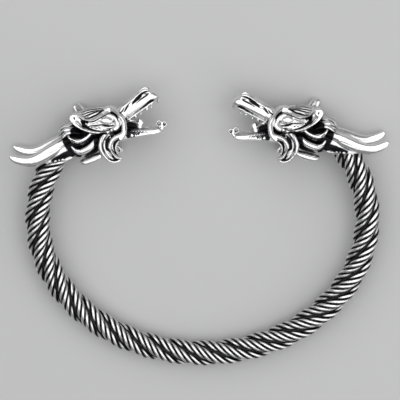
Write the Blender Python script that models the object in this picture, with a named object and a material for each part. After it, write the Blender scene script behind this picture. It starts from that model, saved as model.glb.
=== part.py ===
"""Open arm ring of silver-coloured metal: a band twisted from four wire strands, between two dragon heads.

The ring lies on its side as it would on a table, its opening towards +Y and +X to the wearer's right.
Every head has its own frame: X runs from the neck to the snout, Y up over the brow, Z out of its side.
"""
import bisect
import math

import bmesh
import bpy
from mathutils import Matrix, Vector

# Driving dimensions in metres and degrees

RING_HALF_WIDTH = 0.0357  # oval of the band's middle, across the opening
RING_HALF_HEIGHT = 0.0303  # the same oval, from its centre to the back of the band
LEFT_END = 28.8  # where each head is seated on the oval, degrees above its long axis
RIGHT_END = 32.8

STRAND_COUNT = 4
STRAND_RADIUS = 0.00098
STRAND_CIRCLE = 0.00170  # radius of the circle on which the strands lie around the band's middle
LAY_LENGTH = 0.0239  # length of band in which a strand goes once around
LAY_START = 0.0031  # how far from the left seat the first strand crosses the band's outer side
STRAND_SIDES = 8
SECTIONS_PER_TURN = 11

CLEARANCE = 0.00034  # between the cable and its sockets
SOCKET_DEPTH = 0.0018  # how far past the head's seat on the oval the middle of the socket's floor lies
SOCKET_LEAN = 45.0  # the neck's rim and the socket's floor both lean this much, their inner side deeper
SOCKET_REACH = 0.006  # the bore runs this far back from its floor, out through the neck's rim
SOCKET_SIDES = 20
SOCKET_SECTIONS = 3

HEAD_LENGTH = 0.0324  # horn tip to snout, unit of the tables' "along"
HEAD_HEIGHT = 0.0224  # unit of the tables' "up"; the head reaches from -0.1 to 0.68 of it
HEAD_HALF_WIDTH = 0.0062  # middle plane to the ears' sides, unit of the tables' "out"
LEFT_NECK_ANGLE = 57.0  # between the cable at its seat and the head's level line
RIGHT_NECK_ANGLE = 61.1
NECK_RADIUS = 0.0038  # unit of "tall" in the neck, cap, snout and jaw
SIDE_FLAT = 0.96  # the ears' sides are filed flat at this share of the half width

HORN_WIDTH = 0.0026
HORN_DEPTH = 0.0022
EAR_WIDTH = 0.0021
EAR_DEPTH = 0.0011
BROW_WIDTH = 0.0012
BROW_DEPTH = 0.0017
LID_WIDTH = 0.0007
LID_DEPTH = 0.0012
EYE_LENGTH = 0.0029
EYE_HEIGHT = 0.0018
CRESCENT_WIDTH = 0.0011
CRESCENT_DEPTH = 0.0018
GILL_WIDTH = 0.0013
GILL_DEPTH = 0.0030
TUFT_WIDTH = 0.0028
TUFT_DEPTH = 0.0060
RIDGE_WIDTH = 0.0008
RIDGE_DEPTH = 0.0009
TOOTH_LENGTH = 0.0011
TOOTH_WIDTH = 0.0007
TONGUE_WIDTH = 0.0012
TONGUE_DEPTH = 0.0018
CURL_RADIUS = 0.0005
CURL_LENGTH = 0.0016

NECK_SIDES = 14
SNOUT_SIDES = 10
ROUND_SIDES = 8  # horns, ears, tuft, jaw and curls
BAR_SIDES = 6  # thin bars and ridges
TOOTH_SIDES = 5
EYE_SEGMENTS = 10
EYE_RINGS = 6
SHARP_ANGLE = 40.0  # edges sharper than this stay crisp in a head

# Tables: "along", "up" and "out" are shares of the head's length, height and half width.
# In a bar's table "wide" and "deep" are shares of its own width and depth.

# along, up, travel in degrees, tall, wide
NECK_ROWS = (
    (0.003, 0.000, 100, 1.25, 0.59),
    (0.014, 0.024, 89, 1.14, 0.61),
    (0.040, 0.045, 75, 0.97, 0.62),
    (0.074, 0.066, 57, 0.83, 0.60),
    (0.120, 0.092, 34, 0.81, 0.50),
    (0.205, 0.150, 6, 0.95, 0.42),
    (0.280, 0.175, 0, 0.88, 0.43),
    (0.350, 0.215, 0, 0.58, 0.46),
)
CAP_ROWS = (
    (0.110, 0.372, 0, 0.26, 0.74),
    (0.150, 0.335, 0, 0.55, 0.82),
    (0.190, 0.308, 0, 0.86, 0.82),
    (0.237, 0.283, 0, 1.12, 0.79),
    (0.290, 0.272, 0, 1.22, 0.74),
    (0.343, 0.278, 0, 1.12, 0.68),
    (0.390, 0.300, 0, 0.86, 0.60),
    (0.432, 0.328, 0, 0.56, 0.46),
)
SNOUT_ROWS = (
    (0.350, 0.325, 26, 0.68, 0.40),
    (0.417, 0.382, 34, 0.50, 0.35),
    (0.483, 0.443, 40, 0.46, 0.33),
    (0.550, 0.512, 38, 0.44, 0.31),
    (0.610, 0.568, 26, 0.41, 0.28),
    (0.650, 0.580, -5, 0.29, 0.24),
    (0.675, 0.560, -40, 0.14, 0.14),
)
JAW_ROWS = (
    (0.350, 0.225, -10, 0.52, 0.50),
    (0.423, 0.198, -3, 0.35, 0.43),
    (0.490, 0.210, 4, 0.28, 0.34),
    (0.563, 0.222, 5, 0.24, 0.29),
    (0.637, 0.231, 10, 0.21, 0.25),
    (0.684, 0.247, 40, 0.19, 0.21),
    (0.703, 0.285, 85, 0.13, 0.15),
    (0.694, 0.318, 115, 0.09, 0.11),
)

# One half of the cap's section, from the crown over its sides to its underside: shares of wide and tall
CAP_PROFILE = ((0.00, 1.00), (0.28, 0.88), (0.60, 0.50), (1.00, 0.00), (0.84, -0.22), (0.00, -0.40))

# along, up, out, wide, deep
HORN_ROWS = (
    (-0.300, 0.042, 0.74, 0.22, 0.30),
    (-0.280, 0.017, 0.74, 0.58, 0.60),
    (-0.238, -0.007, 0.72, 0.78, 0.80),
    (-0.186, -0.017, 0.70, 0.88, 0.95),
    (-0.139, -0.004, 0.67, 0.93, 1.00),
    (-0.093, 0.024, 0.63, 0.97, 1.00),
    (-0.048, 0.062, 0.59, 1.00, 1.00),
    (-0.004, 0.102, 0.54, 0.96, 1.00),
    (0.034, 0.139, 0.48, 0.78, 0.95),
    (0.090, 0.175, 0.38, 0.45, 0.80),
)
EAR_ROWS = (
    (0.205, 0.372, 0.66, 0.60, 1.10),
    (0.157, 0.402, 0.82, 0.90, 1.10),
    (0.128, 0.416, 0.91, 0.92, 1.00),
    (0.110, 0.421, 0.95, 0.66, 0.80),
    (0.102, 0.423, 0.96, 0.35, 0.50),
)
BROW_ROWS = (
    (0.133, 0.452, 0.88, 0.50, 0.80),
    (0.159, 0.431, 0.78, 0.54, 1.00),
    (0.190, 0.397, 0.64, 0.50, 1.00),
    (0.222, 0.379, 0.53, 0.52, 1.00),
    (0.247, 0.381, 0.42, 0.63, 1.00),
    (0.273, 0.402, 0.30, 0.76, 1.00),
    (0.299, 0.434, 0.18, 0.86, 0.90),
    (0.350, 0.455, 0.07, 1.00, 0.80),
    (0.384, 0.447, 0.15, 0.95, 0.90),
    (0.433, 0.395, 0.40, 0.85, 1.00),
    (0.451, 0.353, 0.50, 0.92, 1.00),
    (0.454, 0.310, 0.60, 0.98, 1.00),
    (0.450, 0.255, 0.69, 1.08, 1.00),
    (0.423, 0.197, 0.75, 0.80, 1.00),
)
CHEEK_ROWS = (
    (0.105, 0.420, 0.92, 0.45, 0.60),
    (0.128, 0.370, 0.90, 0.45, 0.80),
    (0.160, 0.332, 0.86, 0.45, 0.90),
    (0.192, 0.305, 0.82, 0.45, 0.90),
    (0.238, 0.282, 0.78, 0.45, 0.90),
    (0.290, 0.271, 0.73, 0.45, 0.90),
    (0.343, 0.281, 0.68, 0.45, 0.90),
)
LID_ROWS = (
    (0.209, 0.350, 0.60, 0.70, 0.90),
    (0.255, 0.360, 0.53, 1.30, 1.00),
    (0.287, 0.384, 0.45, 1.20, 1.00),
    (0.320, 0.405, 0.39, 1.00, 1.00),
    (0.353, 0.414, 0.37, 0.90, 1.00),
    (0.386, 0.394, 0.42, 1.30, 1.00),
    (0.408, 0.359, 0.48, 1.70, 1.00),
    (0.410, 0.316, 0.56, 1.80, 1.00),
    (0.382, 0.287, 0.64, 1.30, 1.00),
)
OUTER_CRESCENT_ROWS = (
    (0.356, 0.288, 0.66, 0.70, 0.80),
    (0.324, 0.242, 0.72, 0.90, 1.00),
    (0.304, 0.194, 0.76, 1.00, 1.00),
    (0.297, 0.134, 0.77, 1.00, 1.00),
    (0.310, 0.074, 0.75, 0.92, 1.00),
    (0.336, 0.022, 0.72, 0.80, 0.95),
    (0.369, -0.013, 0.70, 0.64, 0.85),
    (0.408, -0.015, 0.67, 0.52, 0.75),
    (0.435, 0.011, 0.66, 0.42, 0.60),
)
INNER_CRESCENT_ROWS = (
    (0.434, 0.245, 0.70, 0.90, 1.00),
    (0.396, 0.223, 0.74, 0.80, 1.00),
    (0.373, 0.194, 0.76, 0.76, 1.00),
    (0.359, 0.145, 0.77, 0.74, 1.00),
    (0.363, 0.094, 0.75, 0.70, 1.00),
    (0.383, 0.051, 0.72, 0.66, 0.95),
    (0.408, 0.025, 0.70, 0.62, 0.80),
    (0.435, 0.018, 0.67, 0.45, 0.60),
)
UPPER_GILL_ROWS = (
    (0.238, 0.262, 0.56, 0.80, 1.00),
    (0.199, 0.212, 0.60, 1.00, 1.00),
    (0.166, 0.187, 0.62, 0.95, 0.95),
    (0.139, 0.182, 0.64, 0.90, 0.80),
    (0.113, 0.197, 0.69, 0.70, 0.60),
    (0.087, 0.230, 0.76, 0.30, 0.36),
)
MIDDLE_GILL_ROWS = (
    (0.276, 0.207, 0.56, 0.95, 1.00),
    (0.252, 0.162, 0.58, 1.20, 1.00),
    (0.226, 0.122, 0.60, 1.25, 1.00),
    (0.192, 0.092, 0.60, 1.25, 1.00),
    (0.159, 0.082, 0.62, 1.15, 0.90),
    (0.133, 0.097, 0.68, 0.85, 0.65),
    (0.106, 0.137, 0.76, 0.30, 0.36),
)
LOWER_GILL_ROWS = (
    (0.305, 0.100, 0.50, 0.70, 1.00),
    (0.283, 0.052, 0.58, 1.05, 1.00),
    (0.245, 0.015, 0.60, 1.20, 1.00),
    (0.205, -0.009, 0.60, 1.20, 0.95),
    (0.163, -0.016, 0.62, 0.90, 0.85),
)
TUFT_ROWS = (
    (0.165, 0.300, 0.00, 0.80, 1.00),
    (0.105, 0.284, 0.00, 0.85, 1.00),
    (0.057, 0.272, 0.00, 0.95, 1.00),
    (0.027, 0.242, 0.00, 0.85, 0.95),
    (0.012, 0.195, 0.00, 0.40, 0.85),
)
NOSE_RIDGE_ROWS = (
    (0.430, 0.460, 0.20, 0.80, 0.80),
    (0.490, 0.528, 0.20, 0.90, 1.00),
    (0.545, 0.592, 0.20, 1.00, 1.00),
    (0.580, 0.632, 0.20, 1.40, 1.10),
    (0.605, 0.630, 0.20, 1.30, 1.00),
    (0.625, 0.605, 0.20, 0.70, 0.80),
)
LIP_ROWS = (
    (0.450, 0.372, 0.34, 0.70, 0.80),
    (0.507, 0.420, 0.29, 0.70, 0.80),
    (0.560, 0.468, 0.27, 0.70, 0.80),
    (0.605, 0.518, 0.26, 0.70, 0.80),
    (0.645, 0.555, 0.20, 0.60, 0.70),
)
TONGUE_ROWS = (
    (0.552, 0.240, 0.00, 1.00, 1.00),
    (0.552, 0.290, 0.00, 1.00, 1.00),
    (0.553, 0.330, 0.00, 0.95, 0.90),
    (0.556, 0.362, 0.00, 0.50, 0.50),
)
EYE_PLACE = (0.336, 0.365, 0.47)

# along, up, out of a tooth's root; the way it points in degrees, and its share of the tooth's length
TEETH = (
    (0.600, 0.515, 0.24, -105, 1.00),
    (0.630, 0.545, 0.20, -105, 0.80),
    (0.560, 0.470, 0.25, -110, 0.90),
    (0.515, 0.425, 0.26, -110, 1.30),
    (0.635, 0.262, 0.18, 90, 0.80),
    (0.490, 0.245, 0.26, 90, 0.80),
)
FRONT_FANG = (0.662, 0.562, 0.00, -100, 1.30)

# along, up of the two curls on the chin
CHIN_CURLS = ((0.677, 0.322), (0.709, 0.318))


def clear_scene():
    for item in list(bpy.data.objects):
        bpy.data.objects.remove(item, do_unlink=True)


def make_material(name, colour, roughness):
    material = bpy.data.materials.new(name)
    material.use_nodes = True
    shader = material.node_tree.nodes["Principled BSDF"]
    shader.inputs["Base Color"].default_value = (*colour, 1.0)
    shader.inputs["Metallic"].default_value = 1.0
    shader.inputs["Roughness"].default_value = roughness
    return material


# The band's path


def oval_point(angle):
    return Vector((RING_HALF_WIDTH * math.cos(angle), RING_HALF_HEIGHT * math.sin(angle), 0.0))


def oval_tangent(angle):
    step = Vector((-RING_HALF_WIDTH * math.sin(angle), RING_HALF_HEIGHT * math.cos(angle), 0.0))
    return step.normalized()


START_ANGLE = math.radians(180.0 - LEFT_END)
END_ANGLE = math.radians(360.0 + RIGHT_END)
OVAL_STEPS = 720
SPAN_ROUNDS = 12  # enough for a strand's end to settle


def oval_angle(step):
    return START_ANGLE + (END_ANGLE - START_ANGLE) * step / OVAL_STEPS


def oval_lengths():
    """How far along the band each step of the oval is, from the left seat to the right."""
    points = [oval_point(oval_angle(step)) for step in range(OVAL_STEPS + 1)]
    lengths = [0.0]
    for before, after in zip(points, points[1:]):
        lengths.append(lengths[-1] + (after - before).length)
    return lengths


LENGTHS = oval_lengths()
BAND_LENGTH = LENGTHS[-1]


def band_station(distance):
    """The band's middle and its direction at a distance from the left seat; it runs straight past a seat."""
    on_oval = min(max(distance, 0.0), BAND_LENGTH)
    step = min(bisect.bisect_right(LENGTHS, on_oval) - 1, OVAL_STEPS - 1)
    share = (on_oval - LENGTHS[step]) / (LENGTHS[step + 1] - LENGTHS[step])
    angle = oval_angle(step + share)
    tangent = oval_tangent(angle)
    return oval_point(angle) + tangent * (distance - on_oval), tangent


def band_point(distance, turn, radius):
    """A point beside the band's middle; a turn of 0 is on the band's outer side."""
    middle, tangent = band_station(distance)
    outward = Vector((tangent.y, -tangent.x, 0.0))
    return middle + (outward * math.cos(turn) + Vector((0.0, 0.0, 1.0)) * math.sin(turn)) * radius


def floor_distance(turn, radius):
    """How far from the seat the socket's leaning floor is at a turn and radius; below 0 is in the head."""
    return math.tan(math.radians(SOCKET_LEAN)) * radius * math.cos(turn) - SOCKET_DEPTH


def strand_turn(index, distance):
    """How far around the band a strand has gone; it leans from the inner to the outer side."""
    return 2 * math.pi * (index / STRAND_COUNT - (distance - LAY_START) / LAY_LENGTH)


def strand_span(index):
    """Where a strand starts and ends: its cut end's edge stays clear of the floor of either socket."""
    spare = (STRAND_RADIUS + CLEARANCE) / math.cos(math.radians(SOCKET_LEAN))
    first = 0.0
    last = BAND_LENGTH
    for _ in range(SPAN_ROUNDS):
        first = floor_distance(strand_turn(index, first), STRAND_CIRCLE) + spare
        last = BAND_LENGTH - floor_distance(strand_turn(index, last), STRAND_CIRCLE) - spare
    return first, last


def strand_points(index):
    """The middle line of one strand, a helix around the band."""
    first, last = strand_span(index)
    count = round((last - first) * SECTIONS_PER_TURN / LAY_LENGTH)
    distances = [first + (last - first) * k / count for k in range(count + 1)]
    return [band_point(distance, strand_turn(index, distance), STRAND_CIRCLE) for distance in distances]


def make_strand(index, material):
    name = f"strand_{index + 1}"
    curve = bpy.data.curves.new(name, "CURVE")
    curve.dimensions = "3D"
    curve.bevel_depth = STRAND_RADIUS
    curve.bevel_resolution = STRAND_SIDES // 4
    curve.use_fill_caps = True
    points = strand_points(index)
    spline = curve.splines.new("POLY")
    spline.points.add(len(points) - 1)
    for place, point in zip(spline.points, points):
        place.co = (*point, 1.0)
    spline.use_smooth = True
    curve.materials.append(material)
    strand = bpy.data.objects.new(name, curve)
    bpy.context.scene.collection.objects.link(strand)
    return strand


# Shapes of the heads, in the head's frame


def head_point(along, up, out):
    return Vector((along * HEAD_LENGTH, up * HEAD_HEIGHT, out * HEAD_HALF_WIDTH))


def smooth_rows(rows, steps):
    """Rows read from a smooth curve through the table's rows, steps of them from each row to the next."""
    result = []
    for k in range(len(rows) - 1):
        before = rows[max(k - 1, 0)]
        first = rows[k]
        second = rows[k + 1]
        after = rows[min(k + 2, len(rows) - 1)]
        for step in range(steps):
            t = step / steps
            row = []
            for a, b, c, d in zip(before, first, second, after):
                row.append(0.5 * (2 * b + (c - a) * t + (2 * a - 5 * b + 4 * c - d) * t * t
                                  + (3 * b - a - 3 * c + d) * t * t * t))
            result.append(tuple(row))
    result.append(tuple(rows[-1]))
    return result


def skin_rings(rings):
    """A closed mesh over rings of points, all wound the same way around their path."""
    mesh = bmesh.new()
    loops = [[mesh.verts.new(point) for point in ring] for ring in rings]
    sides = len(rings[0])
    for before, after in zip(loops, loops[1:]):
        for k in range(sides):
            nxt = (k + 1) % sides
            mesh.faces.new((before[k], before[nxt], after[nxt], after[k]))
    mesh.faces.new(list(reversed(loops[0])))
    mesh.faces.new(loops[-1])
    bmesh.ops.recalc_face_normals(mesh, faces=mesh.faces)
    return mesh


def round_profile(sides):
    turns = [2 * math.pi * (k + 0.5) / sides for k in range(sides)]
    return [(math.cos(turn), math.sin(turn)) for turn in turns]


def whole_profile(half):
    """A section from its one half, which starts and ends in the middle plane."""
    other = [(-side, rise) for side, rise in half[1:-1]]
    return list(half) + list(reversed(other))


def loft(rows, profile):
    """The neck, cap, snout or jaw: sections across a path in the head's middle plane."""
    rings = []
    for along, up, travel, tall, wide in rows:
        heading = math.radians(travel)
        rise = Vector((-math.sin(heading), math.cos(heading), 0.0)) * tall * NECK_RADIUS
        side = Vector((0.0, 0.0, wide * HEAD_HALF_WIDTH))
        middle = head_point(along, up, 0.0)
        rings.append([middle + rise * high + side * wide_share for wide_share, high in profile])
    return skin_rings(rings)


def sweep(rows, width, depth, sides, steps=1):
    """A bar along a path, width measured along the head's side and depth out of it."""
    smooth = smooth_rows(rows, steps)
    middles = [head_point(*row[:3]) for row in smooth]
    rings = []
    for k, (middle, row) in enumerate(zip(middles, smooth)):
        tangent = (middles[min(k + 1, len(middles) - 1)] - middles[max(k - 1, 0)]).normalized()
        across = tangent.cross(Vector((0.0, 0.0, 1.0))).normalized()
        outward = across.cross(tangent)
        ring = []
        for side in range(sides):
            turn = 2 * math.pi * side / sides
            offset = across * math.cos(turn) * row[3] * width / 2
            offset += outward * math.sin(turn) * row[4] * depth / 2
            ring.append(middle + offset)
        rings.append(ring)
    return skin_rings(rings)


def ball(centre, radii):
    mesh = bmesh.new()
    bmesh.ops.create_uvsphere(mesh, u_segments=EYE_SEGMENTS, v_segments=EYE_RINGS, radius=1.0)
    bmesh.ops.scale(mesh, vec=radii, verts=mesh.verts)
    bmesh.ops.translate(mesh, vec=centre, verts=mesh.verts)
    return mesh


def tooth(along, up, out, points_to, share):
    """A pointed peg whose root is sunk into the jaw by a third of its length."""
    length = TOOTH_LENGTH * share
    mesh = bmesh.new()
    bmesh.ops.create_cone(mesh, cap_ends=True, segments=TOOTH_SIDES, radius1=TOOTH_WIDTH / 2,
                          radius2=TOOTH_WIDTH / 8, depth=length * 4 / 3)
    bmesh.ops.translate(mesh, vec=(0.0, 0.0, length / 3), verts=mesh.verts)
    heading = math.radians(points_to)
    direction = Vector((math.cos(heading), math.sin(heading), 0.0))
    turn = direction.to_track_quat("Z", "Y").to_matrix().to_4x4()
    bmesh.ops.transform(mesh, matrix=Matrix.Translation(head_point(along, up, out)) @ turn, verts=mesh.verts)
    return mesh


def curl(along, up):
    """A small roll across the chin."""
    mesh = bmesh.new()
    bmesh.ops.create_cone(mesh, cap_ends=True, segments=ROUND_SIDES, radius1=CURL_RADIUS,
                          radius2=CURL_RADIUS, depth=CURL_LENGTH)
    bmesh.ops.translate(mesh, vec=head_point(along, up, 0.0), verts=mesh.verts)
    return mesh


def mirrored(mesh):
    """The same form on the head's other side."""
    twin = mesh.copy()
    bmesh.ops.scale(twin, vec=(1.0, 1.0, -1.0), verts=twin.verts)
    bmesh.ops.reverse_faces(twin, faces=twin.faces)
    return twin


def middle_forms():
    forms = [
        loft(NECK_ROWS, round_profile(NECK_SIDES)),
        loft(CAP_ROWS, whole_profile(CAP_PROFILE)),
        loft(SNOUT_ROWS, round_profile(SNOUT_SIDES)),
        loft(JAW_ROWS, round_profile(ROUND_SIDES)),
        sweep(TUFT_ROWS, TUFT_WIDTH, TUFT_DEPTH, ROUND_SIDES),
        sweep(TONGUE_ROWS, TONGUE_WIDTH, TONGUE_DEPTH, BAR_SIDES),
        tooth(*FRONT_FANG),
    ]
    forms += [curl(*place) for place in CHIN_CURLS]
    return forms


def side_forms():
    forms = [
        sweep(HORN_ROWS, HORN_WIDTH, HORN_DEPTH, ROUND_SIDES, steps=2),
        sweep(EAR_ROWS, EAR_WIDTH, EAR_DEPTH, ROUND_SIDES),
        sweep(BROW_ROWS, BROW_WIDTH, BROW_DEPTH, BAR_SIDES),
        sweep(CHEEK_ROWS, BROW_WIDTH, BROW_DEPTH, BAR_SIDES),
        sweep(LID_ROWS, LID_WIDTH, LID_DEPTH, BAR_SIDES),
        sweep(OUTER_CRESCENT_ROWS, CRESCENT_WIDTH, CRESCENT_DEPTH, BAR_SIDES),
        sweep(INNER_CRESCENT_ROWS, CRESCENT_WIDTH, CRESCENT_DEPTH, BAR_SIDES),
        sweep(UPPER_GILL_ROWS, GILL_WIDTH, GILL_DEPTH, BAR_SIDES),
        sweep(MIDDLE_GILL_ROWS, GILL_WIDTH, GILL_DEPTH, BAR_SIDES),
        sweep(LOWER_GILL_ROWS, GILL_WIDTH, GILL_DEPTH, BAR_SIDES),
        sweep(NOSE_RIDGE_ROWS, RIDGE_WIDTH, RIDGE_DEPTH, BAR_SIDES),
        sweep(LIP_ROWS, RIDGE_WIDTH, RIDGE_DEPTH, BAR_SIDES),
        ball(head_point(*EYE_PLACE), (EYE_LENGTH / 2, EYE_HEIGHT / 2, EYE_HEIGHT / 2)),
    ]
    forms += [tooth(*row) for row in TEETH]
    return forms


def socket_cutter(from_left):
    """A bore that follows the cable from the socket's floor back out of the neck."""
    radius = (STRAND_CIRCLE + STRAND_RADIUS + CLEARANCE) / math.cos(math.pi / SOCKET_SIDES)
    turns = [2 * math.pi * k / SOCKET_SIDES for k in range(SOCKET_SIDES)]
    rings = []
    for k in range(SOCKET_SECTIONS + 1):
        ring = []
        for turn in turns:
            distance = floor_distance(turn, radius) + SOCKET_REACH * k / SOCKET_SECTIONS
            ring.append(band_point(distance if from_left else BAND_LENGTH - distance, turn, radius))
        rings.append(ring)
    return skin_rings(rings)


def side_trim():
    """The slab between the planes to which the ears' sides are filed."""
    reach = 2 * HEAD_LENGTH
    mesh = bmesh.new()
    bmesh.ops.create_cube(mesh, size=1.0)
    bmesh.ops.scale(mesh, vec=(reach, reach, 2 * SIDE_FLAT * HEAD_HALF_WIDTH), verts=mesh.verts)
    return mesh


def to_object(form, name):
    mesh = bpy.data.meshes.new(name)
    form.to_mesh(mesh)
    form.free()
    item = bpy.data.objects.new(name, mesh)
    bpy.context.scene.collection.objects.link(item)
    return item


def combine(base, others, operation):
    """The boolean of an object with others is kept in the first, and the others are removed."""
    group = bpy.data.collections.new("others")
    for other in others:
        group.objects.link(other)
    modifier = base.modifiers.new("cut", "BOOLEAN")
    modifier.solver = "EXACT"
    modifier.operation = operation
    modifier.operand_type = "COLLECTION"
    modifier.collection = group
    graph = bpy.context.evaluated_depsgraph_get()
    result = bpy.data.meshes.new_from_object(base.evaluated_get(graph))
    base.modifiers.clear()
    base.data = result
    for other in others:
        bpy.data.objects.remove(other)
    bpy.data.collections.remove(group)


def casting_mesh():
    """Every form of a head joined into one body, its sides filed."""
    middle = middle_forms()
    sides = side_forms()
    twins = [mirrored(form) for form in sides]
    forms = middle + sides + twins
    casting = to_object(forms[0], "casting")
    combine(casting, [to_object(form, "form") for form in forms[1:]], "UNION")
    combine(casting, [to_object(side_trim(), "trim")], "INTERSECT")
    mesh = casting.data
    bpy.data.objects.remove(casting)
    return mesh


def make_head(name, casting, from_left, material):
    """A casting seated on one end of the band, its neck in line with the cable and bored for it."""
    angle = START_ANGLE if from_left else END_ANGLE
    tangent = oval_tangent(angle)
    slope = math.atan2(tangent.y, tangent.x)
    if from_left:
        turn = Matrix.Rotation(slope + math.pi - math.radians(LEFT_NECK_ANGLE), 4, "Z")
    else:
        turn = Matrix.Rotation(slope - math.pi + math.radians(RIGHT_NECK_ANGLE), 4, "Z")
        turn = turn @ Matrix.Rotation(math.pi, 4, "Y")
    head = bpy.data.objects.new(name, casting.copy())
    head.matrix_world = Matrix.Translation(oval_point(angle)) @ turn
    bpy.context.scene.collection.objects.link(head)
    combine(head, [to_object(socket_cutter(from_left), "bore")], "DIFFERENCE")
    mesh = head.data
    mesh.name = name
    mesh.materials.clear()
    mesh.materials.append(material)
    mesh.shade_smooth()
    mesh.set_sharp_from_angle(angle=math.radians(SHARP_ANGLE))
    return head


# How it lies


def world_points(item):
    bpy.context.view_layer.update()
    graph = bpy.context.evaluated_depsgraph_get()
    ready = item.evaluated_get(graph)
    mesh = ready.to_mesh()
    points = [ready.matrix_world @ vertex.co for vertex in mesh.vertices]
    ready.to_mesh_clear()
    return points


def resting_matrix(groups):
    """The turn and shift that set the part down on its three lowest places, one in each group of points."""
    up = Vector((0.0, 0.0, 1.0))
    for _ in range(6):
        feet = [min(points, key=up.dot) for points in groups]
        up = (feet[1] - feet[0]).cross(feet[2] - feet[0]).normalized()
        if up.z < 0:
            up.negate()
    turn = up.rotation_difference(Vector((0.0, 0.0, 1.0))).to_matrix().to_4x4()
    turned = [turn @ point for points in groups for point in points]
    low = [min(point[axis] for point in turned) for axis in range(3)]
    high = [max(point[axis] for point in turned) for axis in range(3)]
    shift = Vector((-(low[0] + high[0]) / 2, -(low[1] + high[1]) / 2, -low[2]))
    return Matrix.Translation(shift) @ turn


def main():
    clear_scene()
    steel = make_material("bright_wire", (0.82, 0.82, 0.83), 0.28)
    casting = make_material("polished_casting", (0.86, 0.86, 0.87), 0.2)
    strands = [make_strand(index, steel) for index in range(STRAND_COUNT)]
    mesh = casting_mesh()
    left = make_head("head_left", mesh, True, casting)
    right = make_head("head_right", mesh, False, casting)
    cable = [point for strand in strands for point in world_points(strand)]
    rest = bpy.data.objects.new("as_it_lies", None)
    bpy.context.scene.collection.objects.link(rest)
    resting = resting_matrix([cable, world_points(left), world_points(right)])
    for item in strands + [left, right]:
        item.parent = rest
    rest.matrix_world = resting


main()
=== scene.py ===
import math

import bmesh
import bpy
import numpy as np
from mathutils import Euler, Matrix, Vector
from mathutils.bvhtree import BVHTree
from mathutils.kdtree import KDTree


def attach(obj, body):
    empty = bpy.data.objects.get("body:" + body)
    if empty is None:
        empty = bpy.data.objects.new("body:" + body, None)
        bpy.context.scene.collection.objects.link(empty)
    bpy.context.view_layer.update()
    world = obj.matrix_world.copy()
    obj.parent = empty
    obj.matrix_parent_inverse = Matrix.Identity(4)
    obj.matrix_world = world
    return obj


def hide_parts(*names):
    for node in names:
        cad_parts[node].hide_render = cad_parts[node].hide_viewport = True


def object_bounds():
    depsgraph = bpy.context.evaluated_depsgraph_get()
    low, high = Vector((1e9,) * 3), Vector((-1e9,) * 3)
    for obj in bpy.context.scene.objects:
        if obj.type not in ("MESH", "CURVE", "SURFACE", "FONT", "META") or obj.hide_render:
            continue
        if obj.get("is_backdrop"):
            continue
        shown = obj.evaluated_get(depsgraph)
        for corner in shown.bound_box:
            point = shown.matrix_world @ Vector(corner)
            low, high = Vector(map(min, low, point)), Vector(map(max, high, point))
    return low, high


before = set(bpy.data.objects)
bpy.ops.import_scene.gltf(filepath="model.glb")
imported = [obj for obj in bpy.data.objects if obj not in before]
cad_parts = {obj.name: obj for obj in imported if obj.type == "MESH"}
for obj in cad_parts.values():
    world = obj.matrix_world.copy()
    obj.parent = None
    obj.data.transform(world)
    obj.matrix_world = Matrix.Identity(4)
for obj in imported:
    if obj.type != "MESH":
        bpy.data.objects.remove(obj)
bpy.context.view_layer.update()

# The ring frame has X to the right in the photograph, Y up towards the opening and Z out of the ring's side.
# A head's frame has X from the neck to the snout, Y up over the brow and Z out of the head's side.
# Lengths are in metres and angles in degrees.

REST_TILT = (3.5671, 0.0692, 0.0022)  # how the ring frame leans as the ring lies on the floor
REST_SHIFT = (0.00074, 0.00178, 0.00455)

CAMERA_TIP = 15.0  # from the ring's side towards its opening
CAMERA_DISTANCE = 0.45
CAMERA_WIDTH = 0.0864  # what the frame's width covers at that distance
CAMERA_TARGET = (-0.00052, 0.00459, 0.0)

RING_HALF_WIDTH = 0.0357  # of the oval along the band's middle
RING_HALF_HEIGHT = 0.0303
LEFT_END = 28.8  # how far above the X axis the left head's seat is
RIGHT_END = 32.8

STRAND_COUNT = 4
STRAND_CIRCLE = 0.00170  # radius of the circle on which the strands lie
LAY_LENGTH = 0.0239  # length of band in which a strand goes once around it
LAY_START = 0.0031
OVAL_STEPS = 720  # into which the oval is divided to measure along it
WIRES_IN_STRAND = 5
WIRE_RADIUS = 0.00040
WIRE_CIRCLE = 0.00076  # radius of the circle on which a strand's wires lie
WIRE_PITCH = 0.0130  # length of band in which a wire goes once around its strand
WIRE_STEPS = 30  # sections in one turn of a wire
WIRE_SIDES = 12
STRAND_CORE_RADIUS = WIRE_CIRCLE - WIRE_RADIUS / 3
CORE_RADIUS = 0.00120
CORE_SPARE = 0.0005  # how far the core goes past each seat
CORE_STEPS = 40  # sections in one lay
CORE_SIDES = 16
FILLER_RADIUS = 0.00022
FILLER_CIRCLE = 0.00170
# The fillers' shine: low, so they are painted dark grey as wires in shade
FILLER_SHINE = 0.18
THIN_SIDES = 8  # of the fillers and of the strands' own cores
SOCKET_DEPTH = 0.0018
SOCKET_LEAN = 45.0  # how far the socket's floor leans against the band
STRAND_END_SPARE = 0.0012
END_ROUNDS = 12  # rounds in which the strands' ends settle over the socket's floor
SHINE_STRAND = (0.00100, 0.00112)  # from its strand's middle, where a wire begins to shine out of its patina and painted shade and where it shines in full
SHINE_BAND = (0.00202, 0.00237)  # the same from the band's middle

HEAD_LENGTH = 0.0324
HEAD_HEIGHT = 0.0224
HEAD_HALF_WIDTH = 0.0062
LEFT_NECK_ANGLE = 57.0  # between the band's end and the head's X axis
RIGHT_NECK_ANGLE = 61.1
NECK_RADIUS = 0.0038
SIDE_FLAT = 0.96  # where the sides of the ears are filed flat, as a share of the half width

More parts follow.
